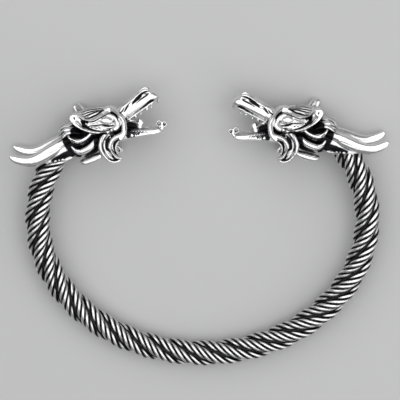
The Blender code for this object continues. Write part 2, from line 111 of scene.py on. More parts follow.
HORN_WIDTH = 0.0026
HORN_DEPTH = 0.0022
EAR_WIDTH = 0.0021
EAR_DEPTH = 0.0011
BROW_WIDTH = 0.0012
BROW_DEPTH = 0.0017
LID_WIDTH = 0.0007
LID_DEPTH = 0.0012
EYE_LENGTH = 0.0029
EYE_HEIGHT = 0.0018
CRESCENT_WIDTH = 0.0011
CRESCENT_DEPTH = 0.0018
GILL_WIDTH = 0.0013
GILL_DEPTH = 0.0030
RIDGE_WIDTH = 0.0008
RIDGE_DEPTH = 0.0009

SHEET_WIDTH = 400.0  # the drawing's width in its own units
SHEET_UNIT = 0.000216  # one of them at the head, in metres

LOFT_STEPS = 5  # sections from one row of a table to the next
BAR_STEPS = 6
MARK_STEPS = 12
NECK_SIDES = 28
CREST_SIDES = 24
SNOUT_SIDES = 20
JAW_SIDES = 16
BAR_SIDES = 16
CAP_PROFILE_STEPS = 3
BALL_SIDES = 24
BALL_RINGS = 16
TOOTH_SIDES = 12
TOOTH_TIP = 0.5  # width of a tooth's tip, as a share of its root's

SPIRAL_STEPS = 24
SPIRAL_SIDES = 12
SPIRAL_CLOSING = 0.3  # how much nearer its middle a spiral ends than it starts
SPIRAL_WIDE = 1.3
SPIRAL_DEEP = 7.0

VOXEL = 0.00015  # of the grid on which a head's forms are fused
SMOOTH_SHARE = 0.5
SMOOTH_ROUNDS = 2
OCCLUSION_REACH = 0.0018  # metal further off than this hides nothing
OCCLUSION_RAYS = 20
CUT_EDGE = 1.8  # how much further than its width a cut reaches
CUT_DEPTH = 0.8
SHADE_RISE = 0.0004  # a mark that is not cut, painted shade or a line kept clear of it, stays off what stands further out than this
ABOVE_HEAD = 2.0  # where lines straight down start, in heights of the head

PATCH_SCALE = 700.0
PATCH_DETAIL = 3.0
GRAIN_SCALE = 9000.0
GRAIN_DETAIL = 4.0
EDGE_RAG = 0.10  # how far grain shifts the edge of the patina and painted shade, as a share of the shine
RIDGE_SHINE = 0.75  # places that shine more than this are rubbed
# Dark colours of the patina and of the painted shade
PATINA_AND_SHADE_BLACK = (0.008, 0.008, 0.010)
PATINA_AND_SHADE_GREY = (0.035, 0.035, 0.038)
METAL_DULL = (0.58, 0.58, 0.59)
METAL_CLEAN = (0.73, 0.73, 0.73)
METAL_RUBBED = (0.84, 0.84, 0.83)
BUMP_STRENGTH = 0.25
BUMP_DEPTH = 0.00001

# Two values of a noise, and what they are turned into
GRAIN_TO_EDGE = (0.3, 0.7, -EDGE_RAG, EDGE_RAG)
GRAIN_TO_PATINA_AND_SHADE = (0.45, 0.75, 0.0, 1.0)
GRAIN_TO_CLEAN = (0.35, 0.6, 0.2, 1.0)
PATCHES_TO_CLEAN = (0.3, 0.6, 0.3, 1.0)
PATCHES_TO_ROUGHNESS = (0.3, 0.7, 0.85, 1.25)

# The shine where the patina and painted shade end and where the metal is clean, then roughness: ridges, plain
# metal, patina and painted shade
WIRE_FINISH = ((0.10, 0.90), (0.26, 0.34, 0.55))
CASTING_FINISH = ((0.25, 0.60), (0.20, 0.30, 0.50))

FLOOR_REACH = 0.6
FLOOR_GREY = 0.45
FLOOR_ROUGHNESS = 0.9
KEY_PLACE = (-0.10, 0.18, 0.46)
KEY_SIZE = 0.90
KEY_POWER = 3.6
FILL_PLACE = (0.30, -0.10, 0.34)
FILL_SIZE = 0.60
FILL_POWER = 1.3
WORLD_COLOUR = (0.98, 0.99, 1.0)
WORLD_STRENGTH = 0.26

# The first tables are in the head's frame: along and up are shares of the head's length and height.

# along, up, the path's direction, tall as a share of the neck's radius, wide as a share of the half width
NECK_ROWS = (
    (0.000, -0.030, 102, 1.26, 0.59),
    (0.003, 0.000, 100, 1.25, 0.59),
    (0.014, 0.024, 89, 1.14, 0.61),
    (0.040, 0.045, 75, 0.97, 0.62),
    (0.074, 0.066, 57, 0.83, 0.60),
    (0.120, 0.092, 34, 0.81, 0.50),
    (0.205, 0.150, 6, 0.95, 0.42),
    (0.280, 0.175, 0, 0.88, 0.43),
    (0.350, 0.215, 0, 0.58, 0.46),
)
CAP_ROWS = (
    (0.110, 0.372, 0, 0.26, 0.74),
    (0.150, 0.335, 0, 0.55, 0.82),
    (0.190, 0.308, 0, 0.86, 0.82),
    (0.237, 0.283, 0, 1.12, 0.79),
    (0.290, 0.272, 0, 1.22, 0.74),
    (0.343, 0.278, 0, 1.12, 0.68),
    (0.390, 0.300, 0, 0.86, 0.60),
    (0.432, 0.328, 0, 0.56, 0.46),
)
SNOUT_ROWS = (
    (0.350, 0.325, 26, 0.68, 0.40),
    (0.417, 0.382, 34, 0.50, 0.35),
    (0.483, 0.443, 40, 0.46, 0.33),
    (0.550, 0.512, 38, 0.44, 0.31),
    (0.610, 0.568, 26, 0.41, 0.28),
    (0.650, 0.580, -5, 0.29, 0.24),
    (0.675, 0.560, -40, 0.14, 0.14),
)
JAW_ROWS = (
    (0.350, 0.225, -10, 0.52, 0.50),
    (0.423, 0.198, -3, 0.35, 0.43),
    (0.490, 0.210, 4, 0.28, 0.34),
    (0.563, 0.222, 5, 0.24, 0.29),
    (0.637, 0.231, 10, 0.21, 0.25),
    (0.684, 0.247, 40, 0.19, 0.21),
    (0.703, 0.285, 85, 0.13, 0.15),
    (0.694, 0.318, 115, 0.09, 0.11),
)

# One half of the cap's section, from the crown over its side to its underside: shares of wide and tall
CAP_PROFILE = ((0.00, 1.00), (0.28, 0.88), (0.60, 0.50), (1.00, 0.00), (0.84, -0.22), (0.00, -0.40))

# along, up, out as a share of the half width, wide and deep as shares of the bar's own sizes
HORN_ROWS = (
    (-0.300, 0.042, 0.74, 0.22, 0.30),
    (-0.280, 0.017, 0.74, 0.58, 0.60),
    (-0.238, -0.007, 0.72, 0.78, 0.80),
    (-0.186, -0.017, 0.70, 0.88, 0.95),
    (-0.139, -0.004, 0.67, 0.93, 1.00),
    (-0.093, 0.024, 0.63, 0.97, 1.00),
    (-0.048, 0.062, 0.59, 1.00, 1.00),
    (-0.004, 0.102, 0.54, 0.94, 1.00),
    (0.034, 0.139, 0.48, 0.76, 0.95),
    (0.090, 0.175, 0.38, 0.45, 0.80),
)
EAR_ROWS = (
    (0.205, 0.372, 0.66, 0.60, 1.10),
    (0.157, 0.402, 0.82, 0.80, 1.10),
    (0.128, 0.416, 0.91, 0.82, 1.00),
    (0.111, 0.421, 0.95, 0.62, 0.80),
    (0.103, 0.423, 0.96, 0.35, 0.50),
)
BROW_ROWS = (
    (0.133, 0.452, 0.88, 0.50, 0.80),
    (0.159, 0.431, 0.78, 0.54, 1.00),
    (0.190, 0.397, 0.64, 0.50, 1.00),
    (0.222, 0.379, 0.53, 0.52, 1.00),
    (0.247, 0.381, 0.42, 0.63, 1.00),
    (0.273, 0.402, 0.30, 0.76, 1.00),
    (0.299, 0.434, 0.18, 0.86, 0.90),
    (0.350, 0.455, 0.07, 1.00, 0.80),
    (0.384, 0.447, 0.15, 0.95, 0.90),
    (0.433, 0.395, 0.40, 0.85, 1.00),
    (0.451, 0.353, 0.50, 0.92, 1.00),
    (0.454, 0.310, 0.60, 0.98, 1.00),
    (0.450, 0.255, 0.69, 1.08, 1.00),
    (0.423, 0.197, 0.75, 0.80, 1.00),
)
CHEEK_ROWS = (
    (0.105, 0.420, 0.92, 0.45, 0.60),
    (0.128, 0.370, 0.90, 0.45, 0.80),
    (0.160, 0.332, 0.86, 0.45, 0.90),
    (0.192, 0.305, 0.82, 0.45, 0.90),
    (0.238, 0.282, 0.78, 0.45, 0.90),
    (0.290, 0.271, 0.73, 0.45, 0.90),
    (0.343, 0.281, 0.68, 0.45, 0.90),
)
LID_ROWS = (
    (0.209, 0.350, 0.60, 0.70, 0.90),
    (0.255, 0.360, 0.53, 1.30, 1.00),
    (0.287, 0.384, 0.45, 1.20, 1.00),
    (0.320, 0.405, 0.39, 1.00, 1.00),
    (0.353, 0.414, 0.37, 0.90, 1.00),
    (0.386, 0.394, 0.42, 1.30, 1.00),
    (0.408, 0.359, 0.48, 1.70, 1.00),
    (0.410, 0.316, 0.56, 1.80, 1.00),
    (0.382, 0.287, 0.64, 1.30, 1.00),
)
OUTER_CRESCENT_ROWS = (
    (0.356, 0.288, 0.66, 0.70, 0.80),
    (0.324, 0.242, 0.72, 0.90, 1.00),
    (0.304, 0.194, 0.76, 1.00, 1.00),
    (0.297, 0.134, 0.77, 1.00, 1.00),
    (0.310, 0.074, 0.75, 0.92, 1.00),
    (0.336, 0.022, 0.72, 0.80, 0.95),
    (0.369, -0.013, 0.70, 0.64, 0.85),
    (0.408, -0.015, 0.67, 0.52, 0.75),
    (0.435, 0.011, 0.66, 0.42, 0.60),
)
INNER_CRESCENT_ROWS = (
    (0.434, 0.245, 0.70, 0.90, 1.00),
    (0.396, 0.223, 0.74, 0.80, 1.00),
    (0.373, 0.194, 0.76, 0.76, 1.00),
    (0.359, 0.145, 0.77, 0.74, 1.00),
    (0.363, 0.094, 0.75, 0.70, 1.00),
    (0.383, 0.051, 0.72, 0.66, 0.95),
    (0.408, 0.025, 0.70, 0.62, 0.80),
    (0.435, 0.018, 0.67, 0.45, 0.60),
)
UPPER_GILL_ROWS = (
    (0.238, 0.262, 0.56, 0.80, 1.00),
    (0.199, 0.212, 0.60, 1.00, 1.00),
    (0.166, 0.187, 0.62, 0.95, 0.95),
    (0.139, 0.182, 0.64, 0.90, 0.80),
    (0.113, 0.197, 0.69, 0.70, 0.60),
    (0.087, 0.230, 0.76, 0.30, 0.36),
)
MIDDLE_GILL_ROWS = (
    (0.276, 0.207, 0.56, 0.95, 1.00),
    (0.252, 0.162, 0.58, 1.30, 1.00),
    (0.226, 0.122, 0.60, 1.42, 1.00),
    (0.192, 0.092, 0.60, 1.42, 1.00),
    (0.159, 0.082, 0.62, 1.25, 0.90),
    (0.133, 0.097, 0.68, 0.85, 0.65),
    (0.106, 0.137, 0.76, 0.30, 0.36),
)
NOSE_RIDGE_ROWS = (
    (0.430, 0.460, 0.20, 0.80, 0.80),
    (0.490, 0.528, 0.20, 0.90, 1.00),
    (0.545, 0.592, 0.20, 1.00, 1.00),
    (0.580, 0.632, 0.20, 1.40, 1.10),
    (0.605, 0.630, 0.20, 1.30, 1.00),
    (0.625, 0.605, 0.20, 0.70, 0.80),
)
EYE_PLACE = (0.336, 0.365, 0.47)

# The rest is drawn on the left head from the camera's side, x to the right and y down, in the drawing's
# units. Other lengths are in the same units. The head's other side gets twins of what is drawn.

# x, y, out as a share of the half width, wide, deep
CREST_ROWS = (
    (80.0, 127.5, 0.00, 6.0, 16.0),
    (73.0, 125.3, 0.00, 6.4, 18.0),
    (67.0, 125.2, 0.00, 6.4, 18.0),
    (62.5, 127.7, 0.00, 5.6, 16.0),
    (60.3, 131.6, 0.00, 4.2, 13.0),
    (59.0, 135.5, 0.00, 1.6, 8.0),
)
UPPER_LOCK_ROWS = (
    (80.0, 131.0, 0.34, 5.0, 7.0),
    (73.0, 129.5, 0.35, 5.0, 8.0),
    (67.0, 129.7, 0.37, 4.8, 8.0),
    (63.0, 132.0, 0.38, 4.0, 6.0),
    (60.5, 136.5, 0.39, 1.4, 3.0),
)
LOWER_LOCK_ROWS = (
    (80.0, 133.5, 0.46, 4.0, 6.0),
    (73.5, 132.2, 0.48, 4.4, 7.0),
    (68.5, 133.0, 0.50, 4.4, 7.0),
    (65.0, 135.3, 0.51, 3.6, 5.0),
    (61.6, 139.6, 0.52, 1.2, 3.0),
)
LOWER_GILL_ROWS = (
    (104.0, 150.5, 0.50, 3.0, 12.0),
    (100.2, 155.2, 0.58, 6.4, 14.0),
    (95.0, 158.3, 0.60, 8.2, 14.0),
    (89.0, 160.8, 0.60, 8.2, 14.0),
    (84.0, 162.1, 0.61, 6.8, 12.0),
    (80.3, 162.0, 0.62, 3.0, 7.0),
)
# A plate at the back of the channel between the crescents, blackened as patina and painted shade
CHANNEL_ROWS = (
    (110.0, 134.5, 0.64, 3.0, 4.0),
    (106.8, 140.5, 0.65, 6.0, 4.0),
    (106.2, 147.0, 0.65, 7.0, 4.0),
    (108.8, 152.5, 0.65, 7.0, 4.0),
    (113.0, 157.0, 0.64, 5.5, 4.0),
    (118.5, 160.0, 0.62, 2.0, 3.0),
)
# A plate inside the inner crescent, blackened as patina and painted shade
INNER_CHANNEL_ROWS = (
    (119.5, 137.5, 0.58, 4.0, 3.0),
    (114.8, 141.5, 0.58, 5.0, 3.0),
    (113.8, 147.5, 0.58, 5.0, 3.0),
    (115.5, 152.5, 0.58, 4.0, 3.0),
    (118.6, 156.3, 0.58, 2.0, 3.0),
)
INNER_LINE_ROWS = (
    (120.0, 139.5, 0.62, 1.8, 3.0),
    (116.5, 144.3, 0.62, 1.7, 3.0),
    (115.8, 149.8, 0.62, 1.6, 3.0),
    (118.3, 155.5, 0.61, 1.0, 3.0),
)
SHELL_ROWS = (
    (74.0, 116.5, 0.84, 3.0, 5.0),
    (77.0, 118.5, 0.85, 7.0, 5.0),
    (79.8, 122.0, 0.83, 6.0, 5.0),
    (82.0, 126.0, 0.80, 2.0, 4.0),
)
LIP_ROWS = (
    (126.5, 120.5, 0.34, 1.0, 3.0),
    (130.0, 118.2, 0.32, 1.6, 3.5),
    (134.0, 115.4, 0.30, 1.6, 3.5),
    (138.0, 112.7, 0.29, 1.6, 3.5),
    (142.0, 109.8, 0.28, 1.6, 3.5),
    (146.0, 107.0, 0.27, 1.6, 3.5),
    (150.0, 103.8, 0.25, 1.5, 3.0),
    (154.3, 101.0, 0.22, 1.0, 2.5),
)
MOUTH_CORNER_ROWS = (
    (127.2, 125.4, 0.36, 1.2, 3.0),
    (129.2, 121.9, 0.35, 1.4, 3.0),
    (131.9, 120.4, 0.33, 1.4, 3.0),
    (134.2, 120.9, 0.28, 1.4, 3.0),
    (137.4, 123.4, 0.10, 1.3, 3.0),
)
TONGUE_ROWS = (
    (140.0, 131.0, 0.00, 4.4, 8.0),
    (139.9, 127.6, 0.00, 6.0, 7.0),
    (140.0, 125.0, 0.00, 7.2, 6.0),
    (140.4, 122.4, 0.00, 7.2, 6.0),
    (139.8, 120.2, 0.00, 5.2, 5.0),
    (138.8, 118.4, 0.00, 2.4, 4.0),
)
# A plate across the mouth's corner, which the painted shade blackens
THROAT_WEB_ROWS = (
    (125.0, 125.5, 0.00, 7.0, 5.0),
    (130.0, 125.3, 0.00, 7.4, 5.0),
    (134.5, 126.0, 0.00, 6.4, 5.0),
    (139.0, 127.6, 0.00, 3.4, 5.0),
)
THROAT_CURL_ROWS = (
    (111.5, 131.0, 0.00, 3.0, 6.0),
    (111.5, 138.0, 0.00, 2.6, 6.0),
    (113.0, 144.0, 0.00, 2.0, 6.0),
    (117.3, 145.8, 0.00, 2.2, 6.0),
    (120.4, 148.4, 0.00, 2.2, 6.0),
    (121.0, 151.0, 0.00, 2.0, 6.0),
    (119.0, 152.4, 0.00, 1.8, 6.0),
    (117.3, 150.6, 0.00, 1.6, 6.0),
    (118.4, 148.8, 0.00, 1.2, 6.0),
)
JAW_PLATE_ROWS = (
    (119.0, 135.0, 0.44, 7.0, 3.0),
    (127.0, 134.6, 0.42, 7.6, 3.0),
    (136.0, 133.6, 0.37, 6.6, 3.0),
    (145.0, 132.6, 0.32, 5.2, 3.0),
    (154.0, 131.4, 0.27, 3.8, 2.6),
    (160.0, 129.6, 0.22, 2.4, 2.4),
)
JAW_RIM_ROWS = (
    (120.0, 139.5, 0.44, 1.0, 3.0),
    (128.0, 137.6, 0.42, 2.0, 4.0),
    (137.0, 135.6, 0.37, 2.2, 4.0),
    (146.0, 134.0, 0.32, 2.4, 4.0),
    (155.0, 132.8, 0.28, 2.4, 4.0),
    (161.0, 130.8, 0.22, 2.0, 3.0),
)
NECK_LINE_ROWS = (
    (62.0, 161.8, 0.50, 0.8, 2.0),
    (66.0, 160.3, 0.48, 1.4, 2.4),
    (71.0, 158.2, 0.42, 1.4, 2.4),
    (76.0, 155.6, 0.32, 1.0, 2.0),
)

# x, y of the root, out, direction in degrees, length, wide
TEETH = (
    (147.0, 107.0, 0.27, -92, 2.4, 2.8),
    (151.6, 104.4, 0.25, -92, 3.0, 1.8),
    (151.4, 103.4, 0.25, -60, 2.0, 2.2),
    (140.9, 112.0, 0.28, -92, 2.4, 2.2),
    (135.9, 115.8, 0.30, -98, 3.4, 3.0),
    (152.3, 130.0, 0.22, 90, 1.4, 2.4),
)
# x, y, out, radius of the knobs that the teeth end in
KNOBS = (
    (146.8, 109.4, 0.27, 1.4),
    (151.5, 107.4, 0.25, 0.9),
    (140.9, 114.2, 0.28, 1.1),
)
FRONT_FANG = (158.6, 98.5, 0.00, -104, 4.6, 3.2)

# x, y, radius, first and last direction in degrees, of the spirals on the chin
SPIRALS = (
    (159.2, 122.7, 2.9, -60, -400),
    (164.2, 123.3, 2.7, -120, 220),
)

# x, y, wide: lines where the blackening is lifted again, left bright through the painted shade
UNSHADED_LINES = (
    ((62.0, 161.8, 0.4), (66.0, 160.3, 0.5), (71.0, 158.2, 0.5), (76.0, 155.6, 0.4)),
    ((47.3, 163.4, 0.6), (47.7, 163.3, 0.6)),
    ((51.0, 162.4, 0.5), (51.4, 162.3, 0.5)),
    ((55.0, 161.9, 0.7), (55.8, 161.6, 0.7)),
    ((59.0, 160.6, 0.4), (59.4, 160.5, 0.4)),
    ((62.4, 160.1, 0.6), (63.0, 159.9, 0.6)),
)

# x, y, out, radius of the beads on the neck's rim
BEADS = (
    (47.5, 163.6, 0.50, 1.3),
    (51.2, 162.6, 0.50, 1.2),
    (55.4, 162.0, 0.52, 1.6),
    (59.2, 160.7, 0.52, 1.1),
    (62.7, 160.2, 0.50, 1.4),
)

# x, y, wide, deep, dark: lines cut into the surface and blackened
CUTS = (
    # under the lid
    ((83, 123.5, 1.0, 0.8, 1.0), (87, 127, 1.1, 1.0, 1.0), (92, 129.8, 1.1, 1.0, 1.0),
     (98, 131.0, 1.0, 1.0, 1.0), (105, 130.7, 0.9, 0.8, 1.0), (110, 129.6, 0.5, 0.5, 0.8)),
    # over the lid
    ((88, 122.3, 0.4, 0.3, 0.8), (94, 121.2, 0.6, 0.6, 1.0), (100, 117.7, 0.6, 0.8, 1.0),
     (105, 115, 0.6, 0.9, 1.0), (110, 113, 0.7, 1.0, 1.0), (114, 114.3, 0.8, 1.0, 1.0),
     (117, 117.3, 0.6, 0.9, 1.0), (118.5, 121.5, 0.3, 0.5, 0.8)),
    # behind the lid
    ((121.3, 124.5, 0.3, 0.5, 0.8), (121, 128, 0.6, 0.8, 1.0), (118.5, 131, 0.6, 0.8, 1.0),
     (115, 132.8, 0.9, 1.0, 1.0)),
    # slit of the eye
    ((101.5, 124.6, 0.4, 0.3, 1.0), (105, 125.6, 0.6, 0.6, 1.0), (109, 126.0, 0.6, 0.6, 1.0),
     (113, 125.2, 0.5, 0.5, 1.0)),
    ((107.5, 128.6, 0.4, 0.3, 0.8), (111, 128.4, 0.5, 0.4, 0.9)),
    ((89, 126.0, 0.4, 0.3, 0.8), (94, 125.4, 0.5, 0.4, 0.9), (100.5, 124.6, 0.4, 0.3, 0.9)),
    ((91.5, 127.2, 0.3, 0.3, 0.8), (93, 127.6, 0.4, 0.3, 0.8)),
    ((96, 128.2, 0.4, 0.3, 0.8), (97.3, 128.5, 0.4, 0.3, 0.8)),
    ((99.6, 127.6, 0.4, 0.3, 0.8), (100.6, 128.0, 0.4, 0.3, 0.8)),
    # hollow behind the ear
    ((82, 121.3, 1.0, 1.0, 1.0), (84.5, 123, 2.0, 2.0, 1.0), (87, 122.3, 1.0, 1.0, 1.0)),
    ((84.5, 125.5, 1.4, 1.6, 1.0), (88, 127.5, 1.2, 1.4, 1.0)),
    # ear's pit and rim
    ((74.0, 118.2, 0.5, 0.6, 0.9), (74.3, 119.4, 0.5, 0.6, 0.9)),
    ((75.5, 116.2, 0.3, 0.4, 0.5), (79, 117.4, 0.4, 0.5, 0.7), (82.5, 119.8, 0.5, 0.6, 1.0)),
    ((76.5, 121.5, 0.3, 0.3, 0.5), (79.5, 124.3, 0.4, 0.4, 0.7), (83, 127.0, 0.5, 0.5, 0.9)),
    # hair
    ((81, 112.6, 0.4, 0.4, 0.9), (86, 110.8, 0.5, 0.6, 1.0), (92, 109.4, 0.6, 0.6, 1.0),
     (103, 108.3, 0.4, 0.4, 0.8)),
    ((81.5, 114.6, 0.4, 0.4, 0.9), (87, 112.6, 0.6, 0.7, 1.0), (93, 111.0, 0.6, 0.7, 1.0),
     (103, 109.4, 0.4, 0.4, 0.8)),
    ((83, 116.8, 0.4, 0.4, 0.9), (88, 114.8, 0.6, 0.7, 1.0), (94, 112.5, 0.6, 0.7, 1.0),
     (101, 110.5, 0.4, 0.4, 0.8)),
    ((85.5, 118.6, 0.6, 0.6, 1.0), (90, 117.8, 0.9, 1.2, 1.0), (95, 115.4, 1.1, 1.4, 1.0),
     (99.5, 112.3, 1.0, 1.2, 1.0), (104, 109.8, 0.6, 0.5, 0.9)),
    # channel of the crescents, patina and painted shade over the plate behind them
    ((109.5, 136.2, 0.6, 0.8, 1.0), (107.6, 140, 1.0, 1.4, 1.0), (107.2, 145, 1.3, 1.8, 1.0),
     (108.4, 150, 1.5, 1.8, 1.0), (111.3, 154.8, 1.4, 1.6, 1.0), (115.5, 158.5, 0.9, 1.0, 1.0),
     (119, 159.6, 0.3, 0.5, 1.0)),
    ((118, 140.3, 0.5, 0.6, 1.0), (114.5, 142.5, 0.6, 0.8, 1.0), (113.6, 147, 0.5, 0.7, 1.0),
     (115.3, 152, 0.5, 0.6, 1.0), (118, 155.4, 0.3, 0.4, 1.0)),
    ((103.2, 136, 0.5, 0.4, 0.7), (101.8, 141, 0.5, 0.4, 0.6), (102.3, 147, 0.4, 0.3, 0.5)),
    # snout
    ((132.4, 103.6, 0.5, 0.6, 1.0), (134.8, 101.0, 0.8, 1.0, 1.0), (137.4, 98.2, 1.2, 1.6, 1.0),
     (140.4, 95.6, 1.2, 1.6, 1.0), (143.4, 93.3, 0.9, 1.2, 1.0), (146.0, 91.7, 0.7, 0.9, 1.0),
     (149.0, 91.0, 0.3, 0.4, 0.8)),
    ((125.6, 116.3, 0.3, 0.2, 0.3), (128.3, 112.3, 0.3, 0.3, 0.4), (131.3, 108.4, 0.3, 0.3, 0.4),
     (134.6, 104.9, 0.3, 0.3, 0.4), (138.6, 101.2, 0.4, 0.5, 0.9), (142.4, 98.0, 0.6, 0.6, 1.0),
     (145.9, 95.6, 0.6, 0.7, 1.0), (148.0, 94.2, 0.4, 0.4, 0.9)),
    ((119.8, 113.0, 0.5, 0.6, 1.0), (122.6, 110.4, 0.5, 0.6, 1.0), (124.4, 106.8, 0.3, 0.3, 0.5)),
    ((124.2, 111.8, 0.3, 0.5, 1.0), (125.7, 108.8, 0.7, 0.8, 1.0), (127.3, 106.4, 0.5, 0.7, 1.0),
     (130.3, 101.8, 0.3, 0.3, 0.6)),
    ((128.0, 118.0, 0.3, 0.4, 0.4), (132.0, 115.2, 0.4, 0.4, 0.4), (136.0, 112.0, 0.4, 0.4, 0.5),
     (140.2, 109.0, 0.4, 0.4, 0.6), (144.6, 105.6, 0.5, 0.5, 0.9), (147.4, 103.2, 0.6, 0.6, 1.0),
     (150.6, 101.2, 0.8, 0.8, 1.0), (153.6, 100.1, 0.5, 0.6, 1.0)),
    # gills
    ((71.8, 140.4, 0.5, 0.6, 1.0), (75, 142, 0.5, 0.6, 1.0)),
    ((75.5, 151.2, 0.4, 0.5, 0.6), (79.5, 152.3, 0.5, 0.5, 0.7)),
    # mane
    ((74.5, 125.5, 0.7, 0.8, 1.0), (70.5, 126.3, 0.4, 0.5, 0.7), (66, 127, 0.3, 0.4, 0.6),
     (62.5, 128.6, 0.4, 0.5, 0.8), (60.6, 131, 0.4, 0.5, 0.9)),
    ((72.5, 123.2, 0.3, 0.3, 0.5), (66, 124.4, 0.3, 0.3, 0.4), (61.5, 126.6, 0.3, 0.3, 0.4)),
    ((72, 130.2, 0.3, 0.4, 0.5), (66, 131.0, 0.3, 0.4, 0.5), (62.8, 132.4, 0.5, 0.6, 0.9),
     (60.3, 135.0, 0.5, 0.5, 0.9)),
    # roots of the horns
    ((67.4, 143.0, 0.3, 0.4, 0.9), (63.0, 145.9, 0.3, 0.4, 0.8), (59.2, 148.2, 0.3, 0.4, 0.6)),
    ((56.5, 149.8, 0.3, 0.4, 0.6), (52.0, 152.2, 0.4, 0.5, 0.6), (48.5, 154.3, 0.4, 0.4, 0.5),
     (45.0, 156.6, 0.3, 0.3, 0.3), (41.0, 159.2, 0.3, 0.2, 0.1)),
    ((67.5, 137.4, 0.8, 0.8, 1.0), (62.5, 139.4, 0.5, 0.6, 1.0), (57.8, 142.3, 0.3, 0.4, 0.8)),
    # lower gill's notches
    ((82.5, 157.4, 0.4, 0.5, 0.9), (83.0, 158.4, 0.3, 0.3, 0.7)),
    ((85.0, 156.8, 0.4, 0.5, 0.9), (85.5, 158.0, 0.3, 0.3, 0.7)),
    ((87.5, 156.0, 0.4, 0.5, 0.9), (88.0, 157.4, 0.3, 0.3, 0.7)),
    ((90.5, 154.9, 0.4, 0.5, 0.9), (91.0, 156.2, 0.3, 0.3, 0.7)),
    ((93.5, 153.6, 0.4, 0.5, 0.9), (94.0, 155.0, 0.3, 0.3, 0.7)),
    ((96.5, 151.8, 0.4, 0.5, 0.9), (97.2, 153.4, 0.3, 0.3, 0.7)),
    # side of the jaw
    ((127.8, 130.4, 0.6, 0.4, 1.0), (133, 130.2, 0.5, 0.3, 0.8), (140, 130.4, 0.4, 0.2, 0.6)),
    ((129.5, 131.4, 0.6, 0.4, 1.0), (132, 133.2, 0.6, 0.4, 1.0), (134.3, 135.2, 0.6, 0.4, 1.0)),
    ((132.0, 131.2, 0.5, 0.4, 1.0), (134.5, 133.2, 0.5, 0.4, 1.0), (136.8, 135.0, 0.5, 0.3, 0.9)),
    ((134.6, 131.2, 0.5, 0.4, 1.0), (137.0, 133.2, 0.5, 0.4, 1.0), (139.0, 134.6, 0.5, 0.3, 0.8)),
    ((137.2, 131.2, 0.5, 0.4, 0.9), (139.6, 133.2, 0.5, 0.4, 0.9)),
    ((139.8, 131.3, 0.5, 0.4, 0.9), (142.0, 133.0, 0.5, 0.4, 0.8)),
    ((142.6, 131.4, 0.5, 0.3, 0.8), (144.6, 132.9, 0.5, 0.3, 0.7)),
    ((145.6, 131.4, 0.5, 0.3, 0.7), (147.4, 132.7, 0.5, 0.3, 0.6)),
    ((148.8, 131.4, 0.4, 0.2, 0.5), (150.2, 132.4, 0.4, 0.2, 0.4)),
    ((127.8, 136.6, 0.6, 0.5, 1.0), (131, 137.2, 0.5, 0.5, 1.0), (134.5, 136.9, 0.5, 0.3, 0.9)),
    # tongue
    ((140.2, 121.4, 0.3, 0.3, 0.6), (140.6, 123.6, 0.3, 0.3, 0.6)),
)

# x, y, wide, dark: painted shade, places blackened without being cut
PAINTED_SHADE = (
    ((74, 131, 3.0, 1.0), (80, 133.5, 4.0, 1.0), (87, 133.5, 2.5, 1.0)),
    ((70, 135.5, 2.5, 1.0), (77, 137, 3.5, 1.0), (84, 136.5, 3.0, 1.0)),
    ((74, 146.5, 2.5, 1.0), (81, 147.3, 3.2, 1.0), (88, 143.5, 3.2, 1.0), (92.5, 138, 2.4, 1.0)),
    ((86, 157, 2.0, 1.0), (92, 152.5, 2.8, 1.0), (95.8, 148, 2.6, 1.0), (96.6, 140, 2.0, 1.0),
     (96.4, 135.5, 1.8, 1.0)),
    ((78, 157, 2.5, 1.0), (72, 154.5, 3.0, 1.0), (66, 155.5, 3.0, 1.0), (60, 158, 2.6, 1.0),
     (54, 161.5, 2.2, 1.0)),
    ((70, 147, 3.0, 1.0), (66, 141.5, 2.6, 1.0)),
    ((128.5, 121.5, 1.2, 1.0), (127.8, 126, 1.6, 1.0), (128.5, 133, 2.0, 1.0), (128.5, 136, 1.6, 1.0)),
    ((128.5, 124.6, 1.6, 1.0), (131.0, 125.4, 2.2, 1.0), (134.5, 126.0, 1.8, 1.0),
     (136.6, 127.6, 0.8, 1.0)),
    ((129.5, 128.9, 0.4, 1.0), (134.0, 128.9, 0.4, 1.0), (141.0, 128.9, 0.4, 1.0),
     (148.0, 129.0, 0.3, 1.0)),
    ((101, 136, 1.2, 0.8), (100, 133.6, 1.0, 1.0), (106, 133.4, 1.0, 1.0)),
)

# along, out, wide, deep, dark: lines cut from above
TOP_CUTS = (
    ((0.118, 0.00, 0.4, 0.5, 0.9), (0.180, 0.00, 0.6, 0.8, 1.0), (0.260, 0.00, 0.5, 0.6, 1.0),
     (0.330, 0.00, 0.3, 0.3, 0.7)),
    ((0.118, 0.12, 0.3, 0.4, 0.7), (0.180, 0.11, 0.4, 0.6, 0.9), (0.250, 0.08, 0.4, 0.5, 0.8),
     (0.310, 0.05, 0.2, 0.2, 0.5)),
    ((0.400, 0.05, 0.3, 0.3, 0.8), (0.450, 0.07, 0.5, 0.6, 1.0), (0.520, 0.08, 0.5, 0.6, 1.0),
     (0.575, 0.06, 0.3, 0.4, 0.8)),
    ((-0.010, 0.16, 0.4, 0.4, 0.8), (0.030, 0.15, 0.5, 0.6, 1.0), (0.080, 0.13, 0.4, 0.5, 1.0)),
    ((-0.020, 0.00, 0.4, 0.4, 0.8), (0.030, 0.00, 0.5, 0.6, 1.0), (0.080, 0.00, 0.4, 0.5, 1.0)),
)

RING_TURN = Euler([math.radians(angle) for angle in REST_TILT])
RING = Matrix.Translation(REST_SHIFT) @ RING_TURN.to_matrix().to_4x4()
UP = Vector((0.0, 0.0, 1.0))
LIFT = np.array((0.0, 0.0, 1.0))

